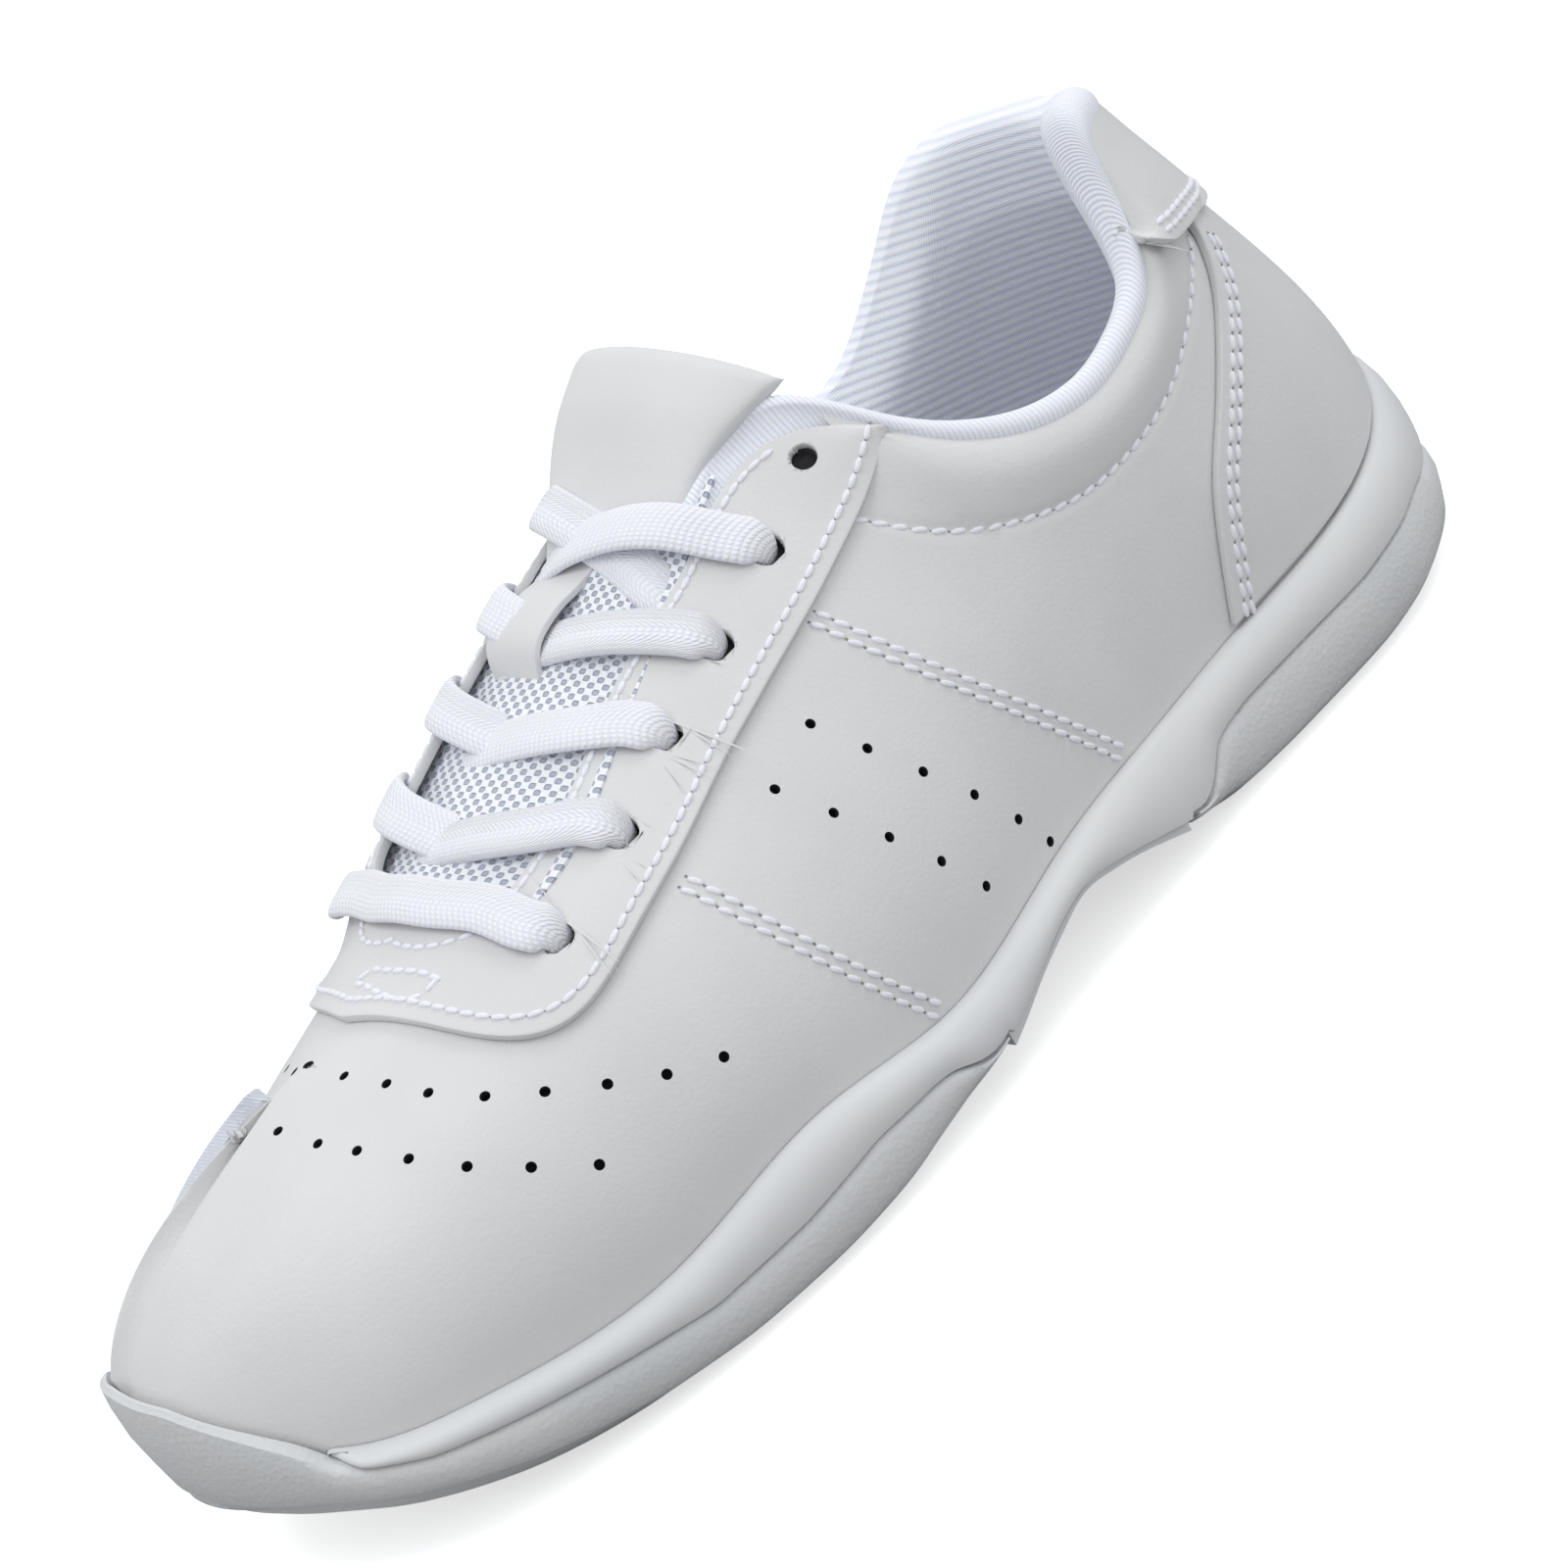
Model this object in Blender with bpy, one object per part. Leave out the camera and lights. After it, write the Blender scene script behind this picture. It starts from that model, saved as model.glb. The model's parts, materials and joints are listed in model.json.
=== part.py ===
"""Low-cut cheer shoe for the left foot, built as separate soles, panels, linings, tongue and lace.

Frame: toe towards -X, heel towards +X, lateral side -Y, medial side +Y, +Z up, sole resting on Z = 0.
The tables below are in millimetres. Meshes are written in metres.

A place on the upper is given by two numbers. The first, around, runs along the edge where the upper
meets the sole: 0 at the toe, up to 1 at the heel on the lateral side and down to -1 on the medial side.
The second, up, runs from 0 at that edge to 1 at the ridge line above the foot.
"""

import bmesh
import bpy
import numpy as np
from mathutils import Matrix, Vector

MM = 0.001

# Plan of the edge between upper and sole: around, x, y, z.
FOOT_LATERAL = [
    (0.00, -126.5, 8, 33), (0.05, -125.5, -7.5, 30), (0.10, -118.5, -20.5, 22), (0.18, -101, -33.5, 17),
    (0.28, -73, -41.5, 14.5), (0.38, -44, -44.5, 18), (0.48, -15, -42, 14), (0.58, 15, -36, 17),
    (0.68, 43, -31.5, 18.5), (0.78, 69, -29, 20), (0.88, 98.5, -25.5, 22), (0.95, 118.5, -14.5, 27),
    (1.00, 127, 1.5, 30.5)]
FOOT_MEDIAL = [
    (0.00, -126.5, 8, 33), (0.05, -121.5, 20.5, 30), (0.10, -112, 30.5, 22), (0.18, -94, 40, 17),
    (0.28, -66, 44.5, 15), (0.38, -39, 43.5, 17.5), (0.48, -12, 38.5, 17), (0.58, 17, 32.5, 19),
    (0.68, 44, 29.5, 19.5), (0.78, 70, 29.5, 20.5), (0.88, 98.5, 27.5, 23), (0.95, 118.5, 16.5, 27),
    (1.00, 127, 1.5, 30.5)]
# Ridge that both sides of the upper rise to: around, x, y, z.
RIDGE_FRONT = [
    (0.00, -87.5, 4.5, 50), (0.05, -84.5, 4, 51), (0.10, -79.5, 3.5, 53), (0.18, -67, 3, 56),
    (0.28, -47.5, 4, 63), (0.38, -25.5, 6, 72.5), (0.48, -1, 7, 83)]
RIDGE_LATERAL = RIDGE_FRONT + [
    (0.58, 25, 4, 95), (0.68, 49, -12, 100.5), (0.78, 73, -17.5, 101), (0.88, 90.5, -15.5, 104.5),
    (0.95, 99.5, -8.5, 107), (1.00, 103.5, 1.5, 107.5)]
RIDGE_MEDIAL = RIDGE_FRONT + [
    (0.58, 25, 9, 95), (0.68, 49, 16, 100.5), (0.78, 73, 20.5, 101), (0.88, 90.5, 18.5, 104.5),
    (0.95, 99.5, 11.5, 107), (1.00, 103.5, 1.5, 107.5)]
# How the wall leaves the sole: around, outward, up.
WALL = [
    (0.00, -3, 5), (0.05, -2, 6), (0.10, -1, 9), (0.18, 2, 18), (0.38, 3, 26), (0.58, 3, 34),
    (0.78, 4, 38), (0.90, 2, 30), (1.00, 0, 22)]
# How the wall arrives at the ridge: around, along X, sideways, down.
REACH_LATERAL = [
    (0.00, -28, 0, 1), (0.05, -26, 12, 2), (0.10, -20, 22, 2), (0.18, -10, 28, 3), (0.28, -3, 30, 4),
    (0.38, 0, 30, 6), (0.48, 0, 27, 9), (0.58, 0, 20, 14), (0.68, 0, 8, 22), (0.78, 0, 3, 26),
    (1.00, 0, 4, 30)]
REACH_MEDIAL = [
    (0.00, -28, 0, 1), (0.05, -26, 8, 2), (0.10, -20, 14, 4), (0.18, -10, 20, 4), (0.28, -3, 22, 2),
    (0.38, 0, 22, 0), (0.48, 0, 20, 0), (0.58, 0, 16, 8), (0.68, 0, 8, 20), (0.78, 0, 3, 26),
    (1.00, 0, 4, 30)]

# Free edge of the upper round the throat and the foot opening: around, up.
THROAT_EDGE = [
    (0.245, 1.0), (0.262, 0.86), (0.29, 0.77), (0.35, 0.755), (0.42, 0.79), (0.50, 0.815), (0.565, 0.836)]
RIM_LATERAL = THROAT_EDGE + [
    (0.598, 0.815), (0.62, 0.745), (0.64, 0.655), (0.662, 0.582), (0.687, 0.531), (0.72, 0.491),
    (0.76, 0.476), (0.796, 0.50), (0.829, 0.55), (0.851, 0.63), (0.866, 0.72), (0.88, 0.81),
    (0.90, 0.85), (0.94, 0.84), (1.00, 0.80)]
RIM_MEDIAL = THROAT_EDGE + [
    (0.598, 0.815), (0.62, 0.745), (0.645, 0.66), (0.675, 0.58), (0.71, 0.545), (0.746, 0.567),
    (0.78, 0.65), (0.82, 0.76), (0.856, 0.825), (0.90, 0.845), (0.95, 0.83), (1.00, 0.80)]
# Outer edge of the eyestay: around, up.
EYESTAY_EDGE = [
    (0.15, 1.0), (0.183, 0.868), (0.223, 0.685), (0.261, 0.548), (0.30, 0.486), (0.344, 0.492),
    (0.39, 0.512), (0.441, 0.548), (0.496, 0.558), (0.545, 0.552), (0.598, 0.574), (0.638, 0.635)]
# Inner edge of the eyestay, one place for each place on its outer edge: around, up.
THROAT_SIDE = [
    (0.245, 1.0), (0.25, 0.93), (0.262, 0.86), (0.285, 0.785), (0.32, 0.76), (0.36, 0.76), (0.41, 0.785),
    (0.455, 0.80), (0.50, 0.812), (0.55, 0.825), (0.595, 0.79), (0.632, 0.67)]
# Front edge of the heel counter panel, up then around, and lower edge of the heel tab, around then up.
COUNTER_EDGE = [
    (0.0, 0.763), (0.1, 0.78), (0.19, 0.798), (0.27, 0.822), (0.375, 0.857), (0.47, 0.893), (0.55, 0.92)]
TAB_EDGE = [(0.845, 0.60), (0.867, 0.57), (0.908, 0.558), (0.95, 0.53), (1.0, 0.49)]
EYELETS = [(0.302, 0.62), (0.366, 0.62), (0.422, 0.655), (0.481, 0.663), (0.54, 0.66), (0.591, 0.696)]
EYELET_RADIUS = 2.3

# Heights along the sole by distance around: underside at the wall and along the middle, the split between
# rubber and foam, the top lip, and the floor that the insole board lies on.
SOLE_EDGE = [
    (0.0, 15), (0.05, 14.5), (0.096, 13.5), (0.138, 10), (0.195, 5.3), (0.25, 2.2), (0.30, 0.8),
    (0.36, 0.8), (0.405, 1.6), (0.45, 4), (0.496, 6.3), (0.525, 9), (0.552, 11.6), (0.58, 12.4),
    (0.606, 10.4), (0.652, 6.2), (0.686, 3.6), (0.72, 1.4), (0.76, 0.8), (0.85, 0.8), (0.89, 1.6),
    (0.92, 3), (1.0, 5)]
SOLE_MIDDLE = [
    (0.0, 13), (0.05, 11.5), (0.1, 8.5), (0.14, 5), (0.18, 2.4), (0.22, 0.6), (0.25, 0), (0.42, 0),
    (0.45, 0.9), (0.475, 2.6), (0.50, 4.6), (0.53, 8), (0.577, 11.4), (0.62, 8.2), (0.66, 4), (0.69, 1),
    (0.71, 0), (0.87, 0), (0.92, 1), (0.96, 2.6), (1.0, 4.4)]
SPLIT = [
    (0.0, 36), (0.04, 34), (0.075, 28), (0.09, 25), (0.098, 23), (0.1055, 20.3), (0.12, 18.3), (0.15, 15.2),
    (0.204, 12.5), (0.245, 10.6), (0.289, 8.6), (0.347, 9.1), (0.397, 10.8), (0.438, 10.2),
    (0.475, 8.4), (0.50, 7.6), (0.655, 8.6), (0.686, 9.8), (0.71, 11.8), (0.735, 12.6), (0.80, 12.6),
    (0.85, 12.4), (0.89, 13.2), (0.913, 14.4), (0.95, 14), (1.0, 12.5)]
FLOOR = [
    (0.0, 24), (0.05, 21.8), (0.10, 17.4), (0.14, 13.6), (0.18, 11), (0.23, 8.8), (0.28, 8.4), (0.38, 8.6),
    (0.44, 9), (0.48, 10.2), (0.53, 13), (0.58, 15.2), (0.63, 15.4), (0.68, 15.6), (0.78, 17), (0.88, 18.8),
    (0.95, 21), (1.0, 22.5)]
FOREFOOT_PAD_END = 0.478
HEEL_PAD_START = 0.665
NOTCH = 0.103          # where the toe wrap of the rubber gives way to the foam side wall
RUBBER = 3.0           # thickness of the outsole
CUP_CLEARANCE = 0.6    # from the upper to the lip of the sole
BULGE = 4.2            # how far the side wall stands out past the upper

# Thickness of each layer.
PANEL = 1.2            # leather
CLOTH = 0.8            # linings and toe puff
STIFFENER_WALL = 1.2
FOAM_PAD = 2.8         # padding round the ankle
BOARD = 1.4            # insole board
SOCKLINER = 3.2
TONGUE_PAD = 3.4
STRAP = 0.9            # lace keeper

# Outer face of each layer, counted outwards from the outside of the leather.
OVERLAY_LIFT = 2.0     # panel laid over another
INNER_LIFT = -2.0      # first layer inside the leather
LINING_LIFT = -3.6
TONGUE_LIFT = -5.6
TONGUE_LINING_LIFT = -10.6
FACING_LIFT = -3.8
SEAM_FLAP = 3.0        # how far the upper reaches down inside the cup of the sole

# How far round from the heel, or from the toe, each of these reaches on either side.
TAB_SPAN = 0.145
STIFFENER_SPAN = 0.165
FOAM_SPAN = 0.365
COLLAR_SPAN = 0.41
TOE_PUFF_SPAN = 0.2
VAMP_LINING_SPAN = 0.575

ROLL_RADIUS = 2.2      # cloth roll over the rim
ROLL_LIFT = -2.4

# Lace: lift of its middle over the eyestay, below it, and where two runs cross on the ridge.
LACE_RADIUS = 1.3
LACE_OVER = 4.1
LACE_UNDER = -1.5
LACE_CROSS_HIGH = 2.0
LACE_CROSS_LOW = -1.4
AGLET_RADIUS = 1.1
AGLET_LENGTH = 11.6

# Tongue flap: hinge line, and the free top edge.
HINGE_X = 15.0
HINGE_Z = 87.0
FLAP_LATERAL = ((16.5, -0.5, 87.0), (33.0, -8.5, 89.0))
FLAP_MEDIAL = ((15.5, 22.0, 92.5), (28.5, 28.0, 99.5))


# ---------------------------------------------------------------- curves and the shape of the last

def spline(knots, values):
    """Natural cubic spline through values at knots."""
    t = np.asarray(knots, float)
    v = np.asarray(values, float)
    n = len(t)
    step = np.diff(t)
    system = np.eye(n)
    right = np.zeros_like(v)
    for i in range(1, n - 1):
        system[i, i - 1] = step[i - 1]
        system[i, i] = 2 * (step[i - 1] + step[i])
        system[i, i + 1] = step[i]
        right[i] = 6 * ((v[i + 1] - v[i]) / step[i] - (v[i] - v[i - 1]) / step[i - 1])
    bend = np.linalg.solve(system, right)

    def value(s):
        s = np.asarray(s, float)
        i = np.clip(np.searchsorted(t, s, side="right") - 1, 0, n - 2)
        a = (t[i + 1] - s)[..., None]
        b = (s - t[i])[..., None]
        h = step[i][..., None]
        cubic = (bend[i] * a ** 3 + bend[i + 1] * b ** 3) / (6 * h)
        return cubic + (v[i] / h - bend[i] * h / 6) * a + (v[i + 1] / h - bend[i + 1] * h / 6) * b
    return value


def wrap(a):
    """Distance around brought back to -1..1."""
    return (np.asarray(a, float) + 1) % 2 - 1


def ring(lateral, medial):
    """Closed spline round the foot from the lateral and medial tables."""
    lat = np.array(lateral, float)
    med = np.array(medial, float)
    knots = np.concatenate([-med[:0:-1, 0], lat[:, 0]])
    values = np.concatenate([med[:0:-1, 1:], lat[:, 1:]])
    knots = np.concatenate([knots[-3:-1] - 2, knots, knots[1:3] + 2])
    values = np.concatenate([values[-3:-1], values, values[1:3]])
    curve = spline(knots, values)
    return lambda a: curve(wrap(a))


def edge(points):
    """Smooth line through (place, value) points, read by place."""
    table = np.array(points, float)
    curve = spline(np.arange(len(table)), table)
    dense = curve(np.linspace(0, len(table) - 1, 12 * len(table)))
    return lambda s: np.interp(s, dense[:, 0], dense[:, 1])


def heights(points):
    """Straight-line table read by distance around on either side."""
    table = np.array(points, float)
    return lambda a: np.interp(np.abs(wrap(a)), table[:, 0], table[:, 1])


foot = ring(FOOT_LATERAL, FOOT_MEDIAL)
ridge = ring(RIDGE_LATERAL, RIDGE_MEDIAL)
wall = ring(WALL, WALL)
reach = ring([(a, x, -side, -down) for a, x, side, down in REACH_LATERAL],
             [(a, x, side, -down) for a, x, side, down in REACH_MEDIAL])
rim_lateral = edge(RIM_LATERAL)
rim_medial = edge(RIM_MEDIAL)
eyestay_edge = edge(EYESTAY_EDGE)
counter_edge = edge(COUNTER_EDGE)
tab_edge = edge(TAB_EDGE)
sole_edge = heights(SOLE_EDGE)
sole_middle = heights(SOLE_MIDDLE)
split = heights(SPLIT)
floor = heights(FLOOR)


def outward(a):
    """Level direction away from the foot at the sole edge."""
    step = 0.001
    along = foot(a + step) - foot(a - step)
    side = np.stack([along[..., 1], -along[..., 0], np.zeros_like(along[..., 0])], -1)
    return side / np.linalg.norm(side, axis=-1, keepdims=True)


def last_point(a, h):
    """Point on the outside of the foot shape."""
    h = np.asarray(h, float)[..., None]
    g = 1 - h
    low = foot(a)
    high = ridge(a)
    bend = wall(a)
    first = low + outward(a) * bend[..., :1]
    first[..., 2] += bend[..., 1]
    second = high + reach(a)
    return g ** 3 * low + 3 * g * g * h * first + 3 * g * h * h * second + h ** 3 * high


def last_normal(a, h):
    """Outward normal of the foot shape, read just short of the ridge."""
    a = np.asarray(a, float)
    h = np.minimum(h, 0.96)
    step = 0.002
    along = last_point(a + step, h) - last_point(a - step, h)
    rise = last_point(a, h + step) - last_point(a, h - step)
    normal = np.cross(along, rise)
    return normal / np.linalg.norm(normal, axis=-1, keepdims=True)


def skin(a, h, lift):
    """Point at a height above the foot shape; both sides agree along the ridge."""
    a, h, lift = np.broadcast_arrays(np.asarray(a, float), np.asarray(h, float), np.asarray(lift, float))
    normal = last_normal(a, h)
    share = (np.clip((h - 0.9) / 0.1, 0, 1) * (np.abs(a) < 0.5))[..., None]
    normal = normal + share * last_normal(-a, h)
    normal = normal / np.linalg.norm(normal, axis=-1, keepdims=True)
    return last_point(a, h) + normal * lift[..., None]


def rim(a):
    """Free edge of the upper: the ridge in front of the throat, then the edge line."""
    a = wrap(a)
    line = np.where(a >= 0, rim_lateral(np.abs(a)), rim_medial(np.abs(a)))
    return np.where(np.abs(a) < THROAT_EDGE[0][0], 1.0, line)


def wall_point(a, out, z):
    """Point beside the sole edge: out from it, at height z."""
    point = foot(a) + outward(a) * np.asarray(out, float)[..., None]
    point[..., 2] = z
    return point


def front_seam(h):
    return 0.474 - 0.23 * h + 0.07 * h * h


def rear_seam(h):
    return 0.655 - 0.285 * h + 0.12 * h * h


# ---------------------------------------------------------------- mesh helpers

def clear_scene():
    for obj in list(bpy.data.objects):
        bpy.data.objects.remove(obj, do_unlink=True)


def material(name, colour, roughness):
    mat = bpy.data.materials.new(name)
    mat.use_nodes = True
    shader = mat.node_tree.nodes["Principled BSDF"]
    shader.inputs["Base Color"].default_value = (*colour, 1)
    shader.inputs["Roughness"].default_value = roughness
    shader.inputs["Metallic"].default_value = 0.0
    return mat


LEATHER = ((0.72, 0.73, 0.74), 0.42)
FABRIC = ((0.70, 0.73, 0.80), 0.9)
MESH_CLOTH = ((0.74, 0.76, 0.82), 0.85)
LACE_CLOTH = ((0.80, 0.82, 0.87), 0.85)
FOAM = ((0.70, 0.71, 0.72), 0.6)
RUBBER_LOOK = ((0.66, 0.67, 0.69), 0.7)
BOARD_LOOK = ((0.62, 0.56, 0.46), 0.9)
STIFFENER = ((0.78, 0.77, 0.74), 0.6)
AGLET = ((0.85, 0.86, 0.9), 0.25)


def add_object(name, points, faces, look):
    """Mesh object from millimetre points, with coincident points joined."""
    mesh = bpy.data.meshes.new(name)
    mesh.from_pydata([tuple(p * MM) for p in np.asarray(points, float)], [], faces)
    shape = bmesh.new()
    shape.from_mesh(mesh)
    bmesh.ops.remove_doubles(shape, verts=shape.verts, dist=0.00002)
    bmesh.ops.dissolve_degenerate(shape, edges=shape.edges, dist=0.00001)
    shape.to_mesh(mesh)
    shape.free()
    mesh.shade_smooth()
    mesh.set_sharp_from_angle(angle=np.radians(40))
    obj = bpy.data.objects.new(name, mesh)
    bpy.context.collection.objects.link(obj)
    mesh.materials.append(material(name, *look))
    return obj


def grid_faces(rows, columns, closed=False):
    faces = []
    for i in range(rows - 1):
        for j in range(columns if closed else columns - 1):
            k = (j + 1) % columns
            faces.append((i * columns + j, (i + 1) * columns + j, (i + 1) * columns + k, i * columns + k))
    return faces


def sheet(name, grid, thickness, look):
    """Panel of even thickness behind an outer face given as a grid of points."""
    rows, columns = grid.shape[:2]
    obj = add_object(name, grid.reshape(-1, 3), grid_faces(rows, columns), look)
    solid = obj.modifiers.new("thickness", "SOLIDIFY")
    solid.thickness = thickness * MM
    solid.offset = -1
    solid.use_even_offset = False
    return obj


def loft(name, profiles, look, cap_start=False, cap_end=False):
    """Solid through closed profiles of equal length; collapsed end profiles close themselves."""
    rows, columns = profiles.shape[:2]
    faces = grid_faces(rows, columns, closed=True)
    if cap_start:
        faces.append(tuple(range(columns)))
    if cap_end:
        faces.append(tuple(range((rows - 1) * columns, rows * columns))[::-1])
    obj = add_object(name, profiles.reshape(-1, 3), faces, look)
    shape = bmesh.new()
    shape.from_mesh(obj.data)
    bmesh.ops.recalc_face_normals(shape, faces=shape.faces)
    shape.to_mesh(obj.data)
    shape.free()
    return obj


def place_origin(obj, place):
    """Put the origin at a place in millimetres and leave the shape where it is."""
    shift = Vector(place) * MM
    obj.data.transform(Matrix.Translation(-shift))
    obj.location = shift


# ---------------------------------------------------------------- soles

def around_stations(start, end, extra=()):
    """Places along one side, closer together at the toe and the heel."""
    base = [0, 0.02, 0.045, 0.07, 0.09, NOTCH - 0.003, NOTCH + 0.0025, NOTCH + 0.003, 0.12, 0.15, 0.18, 0.22,
            0.26, 0.30, 0.34, 0.38, 0.42, 0.45, 0.50, 0.53, 0.555, 0.58, 0.61, 0.64, 0.69, 0.72, 0.76, 0.80,
            0.84, 0.88, 0.91, 0.94, 0.965, 0.985, 1.0]
    return np.array(sorted({start, end, *(a for a in base if start < a < end), *extra}))


def section(a, half, middle_low, middle_high):
    """Closed profile across the sole: lateral half, underside's middle, medial half, top's middle."""
    lateral = [wall_point(a, out, z) for out, z in half]
    medial = [wall_point(-a, out, z) for out, z in half]
    low = (lateral[-1] + medial[-1]) / 2
    low[..., 2] = middle_low
    high = (lateral[0] + medial[0]) / 2
    high[..., 2] = middle_high
    return np.stack(lateral + [low] + medial[::-1] + [high], axis=1)


def at(value, a):
    return np.broadcast_to(np.asarray(value, float), a.shape)


def tray_corner(a):
    """Height of the inside corner of the rubber, along its side wall."""
    return np.minimum(np.maximum(sole_middle(a) + RUBBER, sole_edge(a) + 2.4), split(a) - 0.3)


def outsole(name, start, end):
    """Rubber: a tray with a side wall up to the split."""
    a = around_stations(start, end)
    top = split(a)
    low = sole_edge(a)
    middle = sole_middle(a)
    inside = middle + RUBBER
    half = [(at(CUP_CLEARANCE + 0.5, a), tray_corner(a)), (at(CUP_CLEARANCE + 0.5, a), top),
            (at(BULGE - 0.9, a), top), (at(BULGE, a), top - 0.25 * (top - low)),
            (at(BULGE - 0.6, a), low + 0.28 * (top - low)),
            (at(BULGE - 2.6, a), low + 0.04 * (top - low)), (at(-5, a), middle)]
    profiles = section(a, half, middle, inside)
    return loft(name, profiles, RUBBER_LOOK, cap_start=start > 0, cap_end=end < 1)


def midsole():
    """Foam cup between the rubber and the upper; its underside is bare in the arch."""
    gap = 0.35
    a = around_stations(0, 1, extra=(FOREFOOT_PAD_END, FOREFOOT_PAD_END + 0.004, FOREFOOT_PAD_END + 0.008,
                                     HEEL_PAD_START - 0.008, HEEL_PAD_START - 0.004, HEEL_PAD_START))
    padded = (a <= FOREFOOT_PAD_END + 0.0045) | (a >= HEEL_PAD_START - 0.0045)
    walled = a > NOTCH
    floor_z = floor(a)
    lip = np.where(walled, foot(a)[..., 2] - 0.1, floor_z + 0.6)
    lower = np.where(padded, split(a) + gap, sole_edge(a) + 0.2)
    under = np.where(padded, sole_middle(a) + RUBBER + 3 * gap, sole_middle(a))
    under_edge = np.where(padded, tray_corner(a) + 2 * gap, sole_middle(a))
    lower = np.where(walled, lower, np.maximum(floor_z - 1.0, under_edge + 0.2))
    stand = np.where(a > NOTCH + 0.0027, 1.0, 0.0)
    outer = CUP_CLEARANCE + 0.1 + stand * 1.6
    bulge = outer + stand * (BULGE - CUP_CLEARANCE - 1.7)
    inner = CUP_CLEARANCE - 0.2 * (1 - stand)
    wall_mid = lower + 0.45 * (lip - lower)
    corner = np.where(padded, CUP_CLEARANCE + 0.1, BULGE - 2.4)
    half = [(inner, floor_z), (inner, lip), (outer, lip), (bulge, wall_mid), (bulge - 0.2 * stand, lower),
            (corner, lower), (corner - 0.05, under_edge)]
    profiles = section(a, half, under, floor_z)
    return loft("midsole", profiles, FOAM)


def insole_plate(name, out, bottom, thickness, look):
    a = around_stations(0, 1)
    low = floor(a) + bottom
    half = [(at(out, a), low + thickness), (at(out, a), low)]
    return loft(name, section(a, half, low, low + thickness), look)


# ---------------------------------------------------------------- upper panels

def flap_row(a, lift=0.0):
    """Row of points inside the cup of the sole, below the edge of the upper."""
    depth = np.clip(foot(a)[..., 2] - floor(a) - 2.0, 0.5, SEAM_FLAP)
    return wall_point(a, at(lift, a), foot(a)[..., 2] - depth)


def panel_top(a):
    """Height where a side panel ends, a little way under the eyestay or at the rim."""
    a = wrap(a)
    side = np.abs(a)
    under = np.where(side < 0.16, 1.0, eyestay_edge(np.minimum(side, 0.638)) + 0.04)
    free = np.minimum(rim(a), np.minimum(rim(a - 0.012), rim(a + 0.012))) - 0.032
    top = np.where(side < 0.625, np.minimum(under, free), free)
    return np.where(side < 0.16, 1.0, np.minimum(top, 1.0))


def vamp():
    """Toe panel, round the front of the foot."""
    rows = []
    for u in np.linspace(-1, 1, 29):
        v = np.linspace(0, 1, 8)
        guess = u * front_seam(v * 0.55)
        h = v * panel_top(guess)
        a = u * (front_seam(h) - 0.004)
        rows.append(np.vstack([flap_row(a[:1]), skin(a, h, 0.0)]))
    return sheet("vamp", np.array(rows), PANEL, LEATHER)


def side_panel(name, sign):
    """Perforated panel between the two double rows of stitching."""
    rows = []
    for u in np.linspace(0, 1, 7):
        v = np.linspace(0, 1, 8)
        middle = (front_seam(v * 0.55) + rear_seam(v * 0.55)) / 2
        h = v * panel_top(middle)
        a = (front_seam(h) + 0.004) * (1 - u) + (rear_seam(h) - 0.003) * u
        rows.append(np.vstack([flap_row(sign * a[:1]), skin(sign * a, h, 0.0)]))
    return sheet(name, np.array(rows[::sign]), PANEL, LEATHER)


def quarter(name, sign):
    """Rear side panel up to the rim, meeting its twin at the back of the heel."""
    rows = []
    for u in np.linspace(0, 1, 17):
        v = np.linspace(0, 1, 8)
        h = v * 0.5
        for _ in range(6):
            a = (rear_seam(h) + 0.003) * (1 - u) + 0.994 * u
            h = v * panel_top(sign * a)
        rows.append(np.vstack([flap_row(sign * a[:1]), skin(sign * a, h, 0.0)]))
    return sheet(name, np.array(rows[::sign]), PANEL, LEATHER)


def eyestay_grid(lift):
    """Points of the U-shaped lace panel, from its outer edge to the throat."""
    outer = np.array(EYESTAY_EDGE)
    inner = np.array(THROAT_SIDE)
    count = np.arange(len(outer))
    outer_line = spline(count, outer)
    inner_line = spline(count, inner)
    rows = []
    for u in np.linspace(-1, 1, 35):
        place = abs(u) * count[-1]
        w = np.linspace(0, 1, 4)[:, None]
        pair = outer_line(place) * (1 - w) + inner_line(place) * w
        side = 1 if u >= 0 else -1
        rows.append(skin(side * pair[:, 0], np.minimum(pair[:, 1], 1.0), lift))
    return np.array(rows)


def eyelet_cutter():
    """Round cutters through the eyestay, one at each eyelet."""
    sides = 12
    points = []
    faces = []
    for sign in (1, -1):
        for a, h in EYELETS:
            centre = skin(sign * a, h, 0.0)
            normal = skin(sign * a, h, 1.0) - centre
            across = np.cross(normal, (0, 0, 1.0))
            across /= np.linalg.norm(across)
            up = np.cross(across, normal)
            first = len(points)
            for k in range(sides):
                angle = 2 * np.pi * k / sides
                spoke = EYELET_RADIUS * (np.cos(angle) * across + np.sin(angle) * up)
                points.append(centre + spoke - normal * 1.5)
                points.append(centre + spoke + normal * 4.5)
            ends = [first + 2 * k for k in range(sides)]
            faces.append(tuple(ends))
            faces.append(tuple(e + 1 for e in reversed(ends)))
            for k in range(sides):
                n = (k + 1) % sides
                faces.append((ends[n], ends[k], ends[k] + 1, ends[n] + 1))
    cutter = add_object("eyelet_cutter", points, faces, LEATHER)
    shape = bmesh.new()
    shape.from_mesh(cutter.data)
    bmesh.ops.recalc_face_normals(shape, faces=shape.faces)
    shape.to_mesh(cutter.data)
    shape.free()
    cutter.hide_render = True
    cutter.display_type = "WIRE"
    return cutter


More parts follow.
